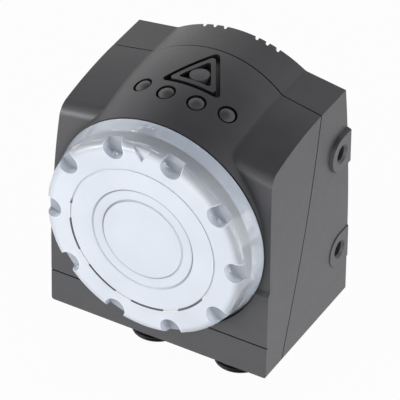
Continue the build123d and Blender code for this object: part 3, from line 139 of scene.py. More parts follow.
@dataclass(frozen=True)
class Finish:
    """A finish with fine grain: its colour, how it scatters light and how rough it feels."""

    name: str
    tint: str
    roughness: float
    ior: float = 1.5
    metallic: float = 0.0
    coat: float = 0.0
    coat_roughness: float = 0.1
    grain_mm: float = 0.4
    grain_depth_mm: float = 0.01
    grains_per_cloud: int = 12
    mottle: float = 0.06
    roughness_spread: float = 0.06

    def build(self) -> bpy.types.Material:
        """Makes the material.

        Returns:
            The material, with its pattern on Object coordinates.
        """
        material = bpy.data.materials.new(self.name)
        material.use_nodes = True
        tree = material.node_tree
        tree.nodes.clear()
        output = add_node(tree, "ShaderNodeOutputMaterial")
        tree.links.new(self.shader(tree), output.inputs["Surface"])
        return material

    def place(self, tree: Tree) -> Socket:
        """The Object coordinates that every pattern reads."""
        return add_node(tree, "ShaderNodeTexCoord").outputs["Object"]

    def noise(self, tree: Tree, size_mm: float, detail: float = 3.0) -> Socket:
        """Noise whose blotches are about size_mm across.

        Args:
            tree: The node tree.
            size_mm: Size of a blotch in millimetres.
            detail: How many finer layers it has.

        Returns:
            A value from 0 to 1.
        """
        return add_node(tree, "ShaderNodeTexNoise", {
            "Vector": self.place(tree), "Scale": 1 / (size_mm * MM), "Detail": detail,
        }).outputs["Fac"]

    def spread(self, tree: Tree, source: Socket, low: float, high: float) -> Socket:
        """Spreads a noise over a range.

        Args:
            tree: The node tree.
            source: The noise.
            low: What its low values become.
            high: What its high values become.

        Returns:
            A value from low to high.
        """
        return add_node(tree, "ShaderNodeMapRange", {
            "Value": source, "From Min": NOISE_LOW, "From Max": NOISE_HIGH, "To Min": low, "To Max": high,
        }).outputs["Result"]

    def mottled(self, tree: Tree, source: Socket) -> Socket:
        """The tint, lighter and darker by the mottle.

        Args:
            tree: The node tree.
            source: The noise that the mottle follows.

        Returns:
            The colour.
        """
        value = self.spread(tree, source, 1 - self.mottle, 1 + self.mottle)
        node = add_node(tree, "ShaderNodeHueSaturation", {"Value": value, "Color": colour(self.tint)})
        return node.outputs["Color"]

    def clouded(self, tree: Tree) -> Socket:
        """The tint, mottled in soft clouds many grains wide."""
        return self.mottled(tree, self.noise(tree, self.grain_mm * self.grains_per_cloud, 1.0))

    def uneven(self, tree: Tree, source: Socket) -> Socket:
        """The roughness, uneven by its spread.

        Args:
            tree: The node tree.
            source: The noise that the roughness follows.

        Returns:
            The roughness.
        """
        low = max(LEAST_ROUGHNESS, self.roughness - self.roughness_spread)
        return self.spread(tree, source, low, self.roughness + self.roughness_spread)

    def relief(self, tree: Tree, height: Socket) -> Socket:
        """Raises a pattern by the grain's depth.

        Args:
            tree: The node tree.
            height: The pattern, from 0 to 1.

        Returns:
            The normal.
        """
        return add_node(tree, "ShaderNodeBump", {
            "Height": height, "Distance": self.grain_depth_mm * MM, "Strength": 1.0,
        }).outputs["Normal"]

    def shader(self, tree: Tree) -> Socket:
        """Makes the surface shader.

        Args:
            tree: The node tree.

        Returns:
            The shader's output.
        """
        grain = self.noise(tree, self.grain_mm)
        return add_node(tree, "ShaderNodeBsdfPrincipled", {
            "Base Color": self.clouded(tree),
            "Roughness": self.uneven(tree, grain),
            "IOR": self.ior,
            "Metallic": self.metallic,
            "Coat Weight": self.coat,
            "Coat Roughness": self.coat_roughness,
            "Normal": self.relief(tree, grain),
        }).outputs["BSDF"]


@dataclass(frozen=True)
class PowderCoat(Finish):
    """Powder coat, with painted shade that darkens it in grooves, wells and narrow gaps."""

    painted_shade_reach_mm: float = 2.0
    painted_shade_tint: str = "#08080A"
    painted_shade_power: float = 1.6
    painted_shade_samples: int = 8

    def shader(self, tree: Tree) -> Socket:
        """Makes a satin coat with orange peel, and painted shade where the surface is enclosed.

        Args:
            tree: The node tree.

        Returns:
            The shader's output.
        """
        grain = self.noise(tree, self.grain_mm)
        # Painted shade: ambient occlusion blends the coat towards a near-black tint in grooves, wells and
        # gaps
        openness = add_node(
            tree, "ShaderNodeAmbientOcclusion", {"Distance": self.painted_shade_reach_mm * MM}, samples=self.painted_shade_samples
        ).outputs["AO"]
        lit = add_node(tree, "ShaderNodeMath", {0: openness, 1: self.painted_shade_power}, operation="POWER")
        base = add_node(tree, "ShaderNodeMix", {
            "Factor": lit.outputs["Value"], "A": colour(self.painted_shade_tint), "B": self.clouded(tree),
        }, data_type="RGBA")
        return add_node(tree, "ShaderNodeBsdfPrincipled", {
            "Base Color": base.outputs["Result"],
            "Roughness": self.uneven(tree, grain),
            "IOR": self.ior,
            "Normal": self.relief(tree, grain),
        }).outputs["BSDF"]


@dataclass(frozen=True)
class ClearCover(Finish):
    """Moulded polycarbonate, milky on its face and clear at the rim and behind the face.

    Angles are clock angles in degrees about the optical axis, as seen from the front.
    """

    # The node whose box gives the face and the optical axis
    node: str = "optics_cover"
    # How the milky face gives way to clear plastic, outwards and inwards
    milky_radius_mm: float = 21.0
    clear_radius_mm: float = 23.2
    milky_depth_mm: float = 0.2
    clear_depth_mm: float = 1.6
    face_transmission: float = 0.06
    rim_transmission: float = 0.65
    translucency: float = 0.22
    flow_mm: float = 13.0
    # Rounding of every moulded edge
    edge_mm: float = 0.12
    edge_samples: int = 4
    # Painted shade along the baffle's two edges, seen through the face and darkest to one side each
    baffle_edges_mm: tuple[float, float] = (9.35, 11.85)
    baffle_edge_shade_sides: tuple[float, float] = (-125.0, 40.0)
    baffle_edge_shade_full: float = 50.0
    baffle_edge_shade_gone: float = 150.0
    baffle_edge_half_mm: float = 0.3
    baffle_edge_painted_shade_tint: str = "#7C848E"
    # The cover's neck edge, low on the face: a painted highlight, with dark dashes along it
    neck_edge_mm: float = 17.17
    neck_edge_half_mm: float = 0.26
    neck_edge_middle: float = -158.0
    neck_edge_reach: float = 78.0
    neck_edge_fade: float = 6.0
    dash_middle: float = -145.0
    dash_degrees: float = 38.7
    dash_share: float = 0.67
    dash_tint: str = "#4E555E"
    # The walls of the round grips, with a painted highlight and less clear plastic near their mouths
    grip_count: int = 10
    grip_pitch_mm: float = 21.7
    grip_radius_mm: float = 2.4
    grip_depth_mm: float = 2.3
    grip_bright_mm: float = 0.5
    grip_edge_half_mm: float = 0.22
    grip_edge_milk: float = 0.85
    grip_painted_highlight_tint: str = "#F0F6FF"

    def from_axis(self, tree: Tree) -> Socket:
        """Object coordinates with their zero where the optical axis leaves the face.

        Args:
            tree: The node tree.

        Returns:
            The place, in metres.
        """
        low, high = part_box(self.node)
        zero = Vector(((low.x + high.x) / 2, low.y, (low.z + high.z) / 2))
        return add_node(
            tree, "ShaderNodeVectorMath", {0: self.place(tree), 1: zero}, operation="SUBTRACT"
        ).outputs["Vector"]

    def radius(self, tree: Tree) -> Socket:
        """Distance from the optical axis.

        Args:
            tree: The node tree.

        Returns:
            The distance, in metres.
        """
        flat = add_node(tree, "ShaderNodeVectorMath", {
            0: self.from_axis(tree), 1: Vector((1, 0, 1)),
        }, operation="MULTIPLY").outputs["Vector"]
        return add_node(tree, "ShaderNodeVectorMath", {0: flat}, operation="LENGTH").outputs["Value"]

    def clock(self, tree: Tree, noon: float) -> Socket:
        """Clock angle about the optical axis.

        Args:
            tree: The node tree.
            noon: The clock angle that counts as 0.

        Returns:
            Degrees from -180 to 180.
        """
        turned = add_node(tree, "ShaderNodeVectorRotate", {
            "Vector": self.from_axis(tree), "Angle": math.radians(-noon),
        }, rotation_type="Y_AXIS")
        parts = add_node(tree, "ShaderNodeSeparateXYZ", {"Vector": turned.outputs["Vector"]})
        angle = add_node(
            tree, "ShaderNodeMath", {0: parts.outputs["X"], 1: parts.outputs["Z"]}, operation="ARCTAN2"
        ).outputs["Value"]
        return add_node(
            tree, "ShaderNodeMath", {0: angle, 1: math.degrees(1)}, operation="MULTIPLY"
        ).outputs["Value"]

    def near(self, tree: Tree, noon: float, full: float, none: float) -> Socket:
        """Masks a stretch of clock angles.

        Args:
            tree: The node tree.
            noon: The middle of the stretch.
            full: How far from the middle the mask is still 1.
            none: How far from the middle it has gone to 0.

        Returns:
            The mask.
        """
        gap = add_node(tree, "ShaderNodeMath", {0: self.clock(tree, noon)}, operation="ABSOLUTE")
        return add_node(tree, "ShaderNodeMapRange", {
            "Value": gap.outputs["Value"], "From Min": full, "From Max": none, "To Min": 1.0, "To Max": 0.0,
        }, interpolation_type="SMOOTHSTEP").outputs["Result"]

    def repeated(self, tree: Tree, middle: float, degrees: float) -> Socket:
        """Place within a pattern that repeats round the optical axis.

        Args:
            tree: The node tree.
            middle: Clock angle of the middle of one repeat.
            degrees: Angle of one repeat.

        Returns:
            A value from -0.5 to 0.5 over each repeat, with 0 at its middle.
        """
        turn = add_node(tree, "ShaderNodeMath", {
            0: self.clock(tree, middle), 1: 1 / degrees, 2: 0.5,
        }, operation="MULTIPLY_ADD")
        within = add_node(tree, "ShaderNodeMath", {0: turn.outputs["Value"]}, operation="FRACT")
        return add_node(
            tree, "ShaderNodeMath", {0: within.outputs["Value"], 1: 0.5}, operation="SUBTRACT"
        ).outputs["Value"]

    def band(self, tree: Tree, distance: Socket, middle_mm: float, half_mm: float) -> Socket:
        """Masks a ring.

        Args:
            tree: The node tree.
            distance: Distance from the ring's centre.
            middle_mm: Radius of the ring's middle.
            half_mm: How far from the middle the mask has gone to 0. It is 1 up to half of that.

        Returns:
            The mask.
        """
        off = add_node(tree, "ShaderNodeMath", {0: distance, 1: middle_mm * MM}, operation="SUBTRACT")
        gap = add_node(tree, "ShaderNodeMath", {0: off.outputs["Value"]}, operation="ABSOLUTE")
        return add_node(tree, "ShaderNodeMapRange", {
            "Value": gap.outputs["Value"],
            "From Min": half_mm / 2 * MM,
            "From Max": half_mm * MM,
            "To Min": 1.0,
            "To Max": 0.0,
        }, interpolation_type="SMOOTHSTEP").outputs["Result"]

    def rise(self, tree: Tree, source: Socket, none_mm: float, full_mm: float) -> Socket:
        """Masks what lies past a distance.

        Args:
            tree: The node tree.
            source: The distance, in metres.
            none_mm: Where the mask is still 0.
            full_mm: Where it has come to 1.

        Returns:
            The mask.
        """
        return add_node(tree, "ShaderNodeMapRange", {
            "Value": source, "From Min": none_mm * MM, "From Max": full_mm * MM,
        }, interpolation_type="SMOOTHSTEP").outputs["Result"]

    def laid_over(self, tree: Tree, under: Any, tint: str, *masks: Socket) -> Socket:
        """Lays a tint over a colour where all the masks meet.

        Args:
            tree: The node tree.
            under: The colour or its socket.
            tint: The tint on top.
            *masks: The masks.

        Returns:
            The colour.
        """
        share = masks[0]
        for mask in masks[1:]:
            both = add_node(tree, "ShaderNodeMath", {0: share, 1: mask}, operation="MULTIPLY")
            share = both.outputs["Value"]
        return add_node(tree, "ShaderNodeMix", {
            "Factor": share, "A": under, "B": colour(tint),
        }, data_type="RGBA").outputs["Result"]

    def grip_edges(self, tree: Tree, radius: Socket, depth: Socket) -> Socket:
        """Masks the walls of the round grips, where the painted highlight goes.

        Args:
            tree: The node tree.
            radius: Distance from the optical axis.
            depth: Distance behind the face.

        Returns:
            A mask that is 1 near each grip's mouth, and 0 at its floor and away from its wall.
        """
        pitch = 360 / self.grip_count
        angle = add_node(tree, "ShaderNodeMath", {
            0: self.repeated(tree, pitch / 2, pitch), 1: math.radians(pitch),
        }, operation="MULTIPLY").outputs["Value"]
        across = add_node(tree, "ShaderNodeMath", {0: angle}, operation="SINE")
        along = add_node(tree, "ShaderNodeMath", {0: angle}, operation="COSINE")
        ray = add_node(tree, "ShaderNodeCombineXYZ", {
            "X": across.outputs["Value"], "Y": along.outputs["Value"],
        })
        point = add_node(
            tree, "ShaderNodeVectorMath", {0: ray.outputs["Vector"], "Scale": radius}, operation="SCALE"
        )
        away = add_node(tree, "ShaderNodeVectorMath", {
            0: point.outputs["Vector"], 1: Vector((0, self.grip_pitch_mm * MM, 0)),
        }, operation="DISTANCE")
        wall = self.band(tree, away.outputs["Value"], self.grip_radius_mm, self.grip_edge_half_mm)
        above = self.rise(tree, depth, self.grip_depth_mm, self.grip_bright_mm)
        return add_node(
            tree, "ShaderNodeMath", {0: wall, 1: above}, operation="MULTIPLY"
        ).outputs["Value"]

    def seen_through(self, tree: Tree, radius: Socket) -> Socket:
        """The tint with painted shade along the baffle's edges, and a painted highlight with dark dashes
        along the neck's edge, as they show through the milky face.

        Args:
            tree: The node tree.
            radius: Distance from the optical axis.

        Returns:
            The colour.
        """
        shown = self.mottled(tree, self.noise(tree, self.flow_mm, 1.0))
        # Painted shade: a grey-blue tint laid on each baffle edge, strongest to one side
        for edge_mm, side in zip(self.baffle_edges_mm, self.baffle_edge_shade_sides):
            ring = self.band(tree, radius, edge_mm, self.baffle_edge_half_mm)
            shade = self.near(tree, side, self.baffle_edge_shade_full, self.baffle_edge_shade_gone)
            shown = self.laid_over(tree, shown, self.baffle_edge_painted_shade_tint, ring, shade)
        ring = self.band(tree, radius, self.neck_edge_mm, self.neck_edge_half_mm)
        reach = self.near(
            tree, self.neck_edge_middle, self.neck_edge_reach, self.neck_edge_reach + self.neck_edge_fade
        )
        # Painted highlight: white laid on the neck edge over its lit stretch
        shown = self.laid_over(tree, shown, WHITE, ring, reach)
        within = self.repeated(tree, self.dash_middle, self.dash_degrees)
        offset = add_node(tree, "ShaderNodeMath", {0: within}, operation="ABSOLUTE")
        dash = add_node(
            tree, "ShaderNodeMath", {0: offset.outputs["Value"], 1: self.dash_share / 2},
            operation="LESS_THAN",
        ).outputs["Value"]
        return self.laid_over(tree, shown, self.dash_tint, ring, reach, dash)

    def shader(self, tree: Tree) -> Socket:
        """Makes a shader that is milky on the face and clear past the rim radius and depth.

        Args:
            tree: The node tree.

        Returns:
            The shader's output.
        """
        radius = self.radius(tree)
        depth = add_node(tree, "ShaderNodeSeparateXYZ", {"Vector": self.from_axis(tree)}).outputs["Y"]
        edges = self.grip_edges(tree, radius, depth)
        by_radius = self.rise(tree, radius, self.milky_radius_mm, self.clear_radius_mm)
        by_depth = self.rise(tree, depth, self.milky_depth_mm, self.clear_depth_mm)
        past = add_node(tree, "ShaderNodeMath", {0: by_depth, 1: by_radius}, operation="MAXIMUM")
        kept = add_node(
            tree, "ShaderNodeMath", {0: edges, 1: -self.grip_edge_milk, 2: 1.0}, operation="MULTIPLY_ADD"
        )
        clear = add_node(
            tree, "ShaderNodeMath", {0: past.outputs["Value"], 1: kept.outputs["Value"]}, operation="MULTIPLY"
        ).outputs["Value"]
        passing = add_node(tree, "ShaderNodeMapRange", {
            "Value": clear, "To Min": self.face_transmission, "To Max": self.rim_transmission,
        })
        rounded = add_node(tree, "ShaderNodeBevel", {
            "Radius": self.edge_mm * MM, "Normal": self.relief(tree, self.noise(tree, self.grain_mm, 1.0)),
        }, samples=self.edge_samples)
        # Painted highlight: a pale blue-white tint laid on the grip walls near their mouths
        skin = add_node(tree, "ShaderNodeBsdfPrincipled", {
            "Base Color": self.laid_over(tree, self.seen_through(tree, radius), self.grip_painted_highlight_tint, edges),
            "Roughness": self.roughness,
            "IOR": self.ior,
            "Transmission Weight": passing.outputs["Result"],
            "Normal": rounded.outputs["Normal"],
        })
        milk = add_node(tree, "ShaderNodeBsdfTranslucent", {"Color": colour(self.tint)})
        share = add_node(tree, "ShaderNodeMapRange", {
            "Value": clear, "To Min": self.translucency, "To Max": 0.0,
        })
        return add_node(tree, "ShaderNodeMixShader", {
            0: share.outputs["Result"], 1: skin.outputs["BSDF"], 2: milk.outputs["BSDF"],
        }).outputs["Shader"]


@dataclass(frozen=True)
class SmokedLight(Finish):
    """Moulded polycarbonate light pipe that looks dark while it is off."""

    transmission: float = 0.1

    def shader(self, tree: Tree) -> Socket:
        """Makes a satin shader with a cloudy core.

        Args:
            tree: The node tree.

        Returns:
            The shader's output.
        """
        core = self.noise(tree, self.grain_mm)
        return add_node(tree, "ShaderNodeBsdfPrincipled", {
            "Base Color": self.mottled(tree, core),
            "Roughness": self.roughness,
            "IOR": self.ior,
            "Transmission Weight": self.transmission,
            "Normal": self.relief(tree, core),
        }).outputs["BSDF"]


@dataclass(frozen=True)
class CircuitBoard(Finish):
    """Glass-fibre board under green solder mask, with faint copper tracks."""

    cell_mm: float = 1.6
    track_from: float = 0.45
    track_tint: str = "#1F5A36"

    def shader(self, tree: Tree) -> Socket:
        """Makes a mask whose tracks are a blocky pattern of lighter green.

        Args:
            tree: The node tree.

        Returns:
            The shader's output.
        """
        cells = add_node(tree, "ShaderNodeTexVoronoi", {
            "Vector": self.place(tree), "Scale": 1 / (self.cell_mm * MM),
        }, distance="MANHATTAN", feature="F1")
        track = add_node(tree, "ShaderNodeMath", {
            0: cells.outputs["Distance"], 1: self.track_from,
        }, operation="GREATER_THAN").outputs["Value"]
        base = add_node(tree, "ShaderNodeMix", {
            "Factor": track, "A": colour(self.tint), "B": colour(self.track_tint),
        }, data_type="RGBA")
        return add_node(tree, "ShaderNodeBsdfPrincipled", {
            "Base Color": base.outputs["Result"],
            "Roughness": self.roughness,
            "IOR": self.ior,
            "Coat Weight": self.coat,
            "Normal": self.relief(tree, track),
        }).outputs["BSDF"]


@dataclass(frozen=True)
class LensGlass(Finish):
    """Ground and polished optical glass with a faint coating."""

    transmission: float = 0.95
    coat_tint: str = "#B9A7FF"

    def shader(self, tree: Tree) -> Socket:
        """Makes clear glass with a coloured coat.

        Args:
            tree: The node tree.

        Returns:
            The shader's output.
        """
        return add_node(tree, "ShaderNodeBsdfPrincipled", {
            "Base Color": colour(self.tint),
            "Roughness": self.roughness,
            "IOR": self.ior,
            "Transmission Weight": self.transmission,
            "Coat Weight": self.coat,
            "Coat Tint": colour(self.coat_tint),
            "Normal": self.relief(tree, self.noise(tree, self.grain_mm, 1.0)),
        }).outputs["BSDF"]


@dataclass(frozen=True)
class TurnedMetal(Finish):
    """Turned or drawn metal with fine rings left by the tool."""

    # Drawn several times coarser than the real marks, which would not show
    ring_mm: float = 0.754
    waves_per_unit: float = 20 / math.tau
    distortion: float = 1.5
    detail: float = 2.0
    grains_per_cloud: int = 8

    def shader(self, tree: Tree) -> Socket:
        """Makes a metal with rings across the vertical.

        Args:
            tree: The node tree.

        Returns:
            The shader's output.
        """
        rings = add_node(tree, "ShaderNodeTexWave", {
            "Vector": self.place(tree),
            "Scale": 1 / (self.ring_mm * MM * self.waves_per_unit),
            "Distortion": self.distortion,
            "Detail": self.detail,
        }, bands_direction="Z").outputs["Fac"]
        return add_node(tree, "ShaderNodeBsdfPrincipled", {
            "Base Color": self.clouded(tree),
            "Roughness": self.uneven(tree, rings),
            "Metallic": self.metallic,
            "Normal": self.relief(tree, rings),
        }).outputs["BSDF"]


# Powder coat on die-cast metal: dark grey, satin, with a fine orange peel
POWDER_COAT = PowderCoat("powder_coat", "#454548", 0.38, grain_mm=0.35, grain_depth_mm=0.012, mottle=0.05)
# Clear polycarbonate, moulded: a bluish white face, a glassy rim and sharp highlights
CLEAR_COVER = ClearCover(
    "clear_polycarbonate", "#EBF1FA", 0.04, ior=1.58, grain_mm=9.0, grain_depth_mm=0.03, mottle=0.05,
)
# Nitrile rubber, moulded: matt black, no highlight to speak of
NITRILE = Finish("nitrile_rubber", "#141415", 0.75, ior=1.52, grain_mm=0.25)
# Silicone gasket, moulded: matt grey
SILICONE = Finish("silicone_rubber", "#6C7078", 0.6, ior=1.41, grain_mm=0.3)
# Glass-filled polyamide, moulded: black and slightly grainy
POLYAMIDE = Finish("black_polyamide", "#1C1C1E", 0.5, ior=1.53, grain_mm=0.3)
# Polyamide of the baffle, moulded: pale grey with a dull shine
BAFFLE_GREY = Finish("grey_polyamide", "#B9C0CA", 0.45, ior=1.53, grain_mm=0.5)
# Smoked polycarbonate light pipe, moulded: a dark grey dome with a soft shine
SMOKED = SmokedLight("smoked_polycarbonate", "#454547", 0.4, ior=1.58, grain_mm=1.6, grain_depth_mm=0.02)
# Polyamide of the button, moulded smoother than the coat: the housing's grey with a soft shine
BUTTON = Finish("button_polyamide", "#4C4C4F", 0.4, grain_mm=0.3, grain_depth_mm=0.006)
# Opal acrylic, moulded: white and matt, it spreads the light
OPAL = Finish("opal_acrylic", "#F2F3F1", 0.55, ior=1.49, grain_mm=0.4, mottle=0.02)
# Solder mask over glass fibre: dark green under a gloss, with tracks a shade lighter
BOARD = CircuitBoard("solder_mask", "#12391F", 0.35, coat=0.3, grain_depth_mm=0.03)
# Epoxy cast over the light source: yellowish, with a clear gloss
RESIN = Finish("diode_epoxy", "#E9DDA0", 0.15, ior=1.54, coat=0.5, grain_mm=0.8, mottle=0.1)
# Optical glass, polished and coated: clear with a violet shine
GLASS = LensGlass("coated_glass", "#F4F8FA", 0.02, ior=1.52, coat=0.5, grain_mm=6.0, grain_depth_mm=0.001)
# Black anodised aluminium, turned: deep satin, nearly black
ANODISED = TurnedMetal("black_anodised", "#1B1B1D", 0.38, metallic=0.6, grain_depth_mm=0.004)
# Aluminium, turned: bright with fine rings
BRIGHT = TurnedMetal("turned_aluminium", "#C9CACC", 0.3, metallic=1.0, grain_depth_mm=0.004)
# Acetal, machined: natural white with a waxy shine
ACETAL = Finish("white_acetal", "#E9E6DC", 0.35, ior=1.48, grain_mm=0.6, mottle=0.03)
# Steel screw, zinc-plated: pale grey and bright
ZINC = TurnedMetal("zinc_plate", "#B7BABD", 0.32, metallic=1.0, grain_depth_mm=0.004)
# Steel screw, black oxide: dark with a dull shine
OXIDE = TurnedMetal("black_oxide", "#2A2A2C", 0.42, metallic=0.8, grain_depth_mm=0.004)
# Black nickel plate on turned brass: nearly black, with a metal's shine on the crests
BLACK_NICKEL = TurnedMetal("black_nickel", "#202022", 0.34, metallic=0.85, grain_depth_mm=0.003)
# Hard gold plate: warm yellow and bright
GOLD = TurnedMetal("gold_plate", "#D8AE57", 0.25, metallic=1.0, grain_depth_mm=0.002)
# Silicone gap filler, pressed: soft blue-grey, matt
GAP_FILLER = Finish("gap_filler", "#7E8A99", 0.7, ior=1.41, grain_mm=0.5)

DRESSING: dict[Finish, tuple[str, ...]] = {
    POWDER_COAT: ("front_cover", "rear_housing"),
    CLEAR_COVER: ("optics_cover",),
    NITRILE: ("housing_seal", "focus_screw_seal", "power_connector_seal", "data_connector_seal"),
    SILICONE: ("cover_seal",),
    POLYAMIDE: (
        "optics_frame", "gear_retainer", "image_sensor", "processor", "board_link", "io_link", "tact_switch",
        "power_connector_insert", "data_connector_insert",
    ),
    BAFFLE_GREY: ("light_baffle",),
    SMOKED: ("status_light_1", "status_light_2", "status_light_3", "status_light_4"),
    BUTTON: ("trigger_button",),
    OPAL: ("ring_diffuser",),
    BOARD: ("ring_light_board", "sensor_board", "main_board", "connector_board", "indicator_board"),
    RESIN: ("ring_leds", "status_leds"),
    GLASS: ("lens_front_element", "lens_rear_element"),
    ANODISED: ("lens_barrel", "lens_retainer"),
    BRIGHT: ("board_spacers",),
    ACETAL: ("focus_gear", "focus_screw"),
    ZINC: ("optics_screws", "retainer_screws", "board_screws", "indicator_screws"),
    OXIDE: ("cover_screws_long", "cover_screws_short"),
    BLACK_NICKEL: (
        "power_connector_shell", "data_connector_shell", "power_connector_nut", "data_connector_nut",
    ),
    GOLD: ("power_connector_pins", "data_connector_contacts"),
    GAP_FILLER: ("thermal_pad",),
}


@dataclass
class Wardrobe:
    """The materials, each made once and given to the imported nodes."""

    nodes: dict[str, bpy.types.Object]

    def dress(self) -> dict[str, bpy.types.Material]:
        """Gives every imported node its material.

        Returns:
            The materials by the name of their finish.
        """
        made: dict[str, bpy.types.Material] = {}
        for finish, names in DRESSING.items():
            made[finish.name] = finish.build()
            for name in names:
                mesh = self.nodes[name].data
                mesh.materials.clear()
                mesh.materials.append(made[finish.name])
            LOG.info("%s on %d nodes", finish.name, len(names))
        return made


def piece_from(name: str, form: bmesh.types.BMesh, material: bpy.types.Material) -> bpy.types.Object:
    """Makes a finished object from a bmesh, at the origin.

    Args:
        name: The piece's name.
        form: The bmesh, which is freed.
        material: The piece's material.

    Returns:
        The linked object, shaded smooth.
    """
    bmesh.ops.recalc_face_normals(form, faces=form.faces)
    for face in form.faces:
        face.smooth = True
    mesh = bpy.data.meshes.new(name)
    form.to_mesh(mesh)
    form.free()
    mesh.materials.append(material)
    piece = bpy.data.objects.new(name, mesh)
    bpy.context.scene.collection.objects.link(piece)
    return piece


@dataclass
class ConnectorShell:
    """A round connector's metal shell with its rolled M12 thread."""

    connector: Connector
    body: str = "housing"
    major_mm: float = 6.0
    bore_mm: float = 4.4
    inner_mm: float = 6.4
    flange_mm: float = 1.4
    chamfer_mm: float = 0.35
    edge_mm: float = 0.15
    pitch_mm: float = 1.0
    thread_depth_mm: float = 0.54
    thread_flat: float = 0.1154
    fade_mm: float = 0.5
    touch_mm: float = 0.01
    segments: int = 96
    rows_per_pitch: int = 10

    def thread_span(self, low: float, high: float) -> tuple[float, float]:
        """Heights where the thread starts and where it ends under the flange, in metres."""
        return low + self.chamfer_mm * MM, high - (self.inner_mm + self.flange_mm) * MM

    def profile(self, low: float, high: float, flange: float) -> list[tuple[float, float]]:
        """Corners of the shell's half section, in metres.

        Args:
            low: Height of the shell's mouth.
            high: Height of its inner end.
            flange: Radius of the flange.

        Returns:
            Radius and height pairs from the bore's mouth round to its top.
        """
        major, bore, edge = self.major_mm * MM, self.bore_mm * MM, self.edge_mm * MM
        foot, end = self.thread_span(low, high)
        flange_top = end + self.flange_mm * MM
        rows = round((end - foot) / (self.pitch_mm * MM) * self.rows_per_pitch)
        thread = [(major, foot + (end - foot) * row / rows) for row in range(rows + 1)]
        return [
            (bore, high), (bore, low + edge), (bore + edge, low), (major - self.chamfer_mm * MM, low),
            *thread, (flange - edge, end), (flange, end + edge), (flange, flange_top - edge),
            (flange - edge, flange_top), (major, flange_top), (major, high),
        ]

    def cut_thread(self, form: bmesh.types.BMesh, centre: Vector, foot: float, end: float) -> None:
        """Sinks the thread into the shell's outer wall.

        Args:
            form: The spun shell.
            centre: A point on the shell's axis.
            foot: Height where the thread starts.
            end: Height where it ends.
        """
        for vert in form.verts:
            out = Vector((vert.co.x - centre.x, vert.co.y - centre.y, 0))
            on_wall = abs(out.length - self.major_mm * MM) <= self.touch_mm * MM
            in_span = foot - MERGE_DISTANCE < vert.co.z < end - MERGE_DISTANCE
            if not (on_wall and in_span):
                continue
            turn = math.atan2(out.y, out.x) / math.tau
            phase = ((vert.co.z - foot) / (self.pitch_mm * MM) - turn) % 1.0
            ridge = abs(2 * phase - 1)
            flank = (1 - self.thread_flat - ridge) / (1 - 2 * self.thread_flat)
            fade = min(1.0, (end - vert.co.z) / (self.fade_mm * MM))
            vert.co -= out.normalized() * min(1.0, max(0.0, flank)) * fade * self.thread_depth_mm * MM

    def build(self, material: bpy.types.Material) -> bpy.types.Object:
        """Spins the section and cuts the thread into it.

        Args:
            material: The shell's material.

        Returns:
            The piece that stands for the node.
        """
        node = self.connector.value
        low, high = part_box(node)
        centre = (low + high) / 2
        section = self.profile(low.z, high.z, (high.x - low.x) / 2)
        form = bmesh.new()
        points = [form.verts.new((centre.x + radius, centre.y, z)) for radius, z in section]
        edges = [form.edges.new(pair) for pair in zip(points, points[1:] + points[:1])]
        bmesh.ops.spin(
            form, geom=points + edges, cent=(centre.x, centre.y, 0), axis=(0, 0, 1), angle=math.tau,
            steps=self.segments, use_merge=True,
        )
        bmesh.ops.remove_doubles(form, verts=form.verts, dist=MERGE_DISTANCE)
        self.cut_thread(form, centre, *self.thread_span(low.z, high.z))
        piece = piece_from(node + "_threaded", form, material)
        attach(piece, self.body)
        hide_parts(node)
        LOG.info("%s: %d faces", piece.name, len(piece.data.polygons))
        return piece


@dataclass
class Softbox:
    """One soft lamp: where it stands, how wide it is, its power and its distance."""

    name: str
    azimuth: float
    elevation: float
    size_m: float
    watts: float
    distance_m: float


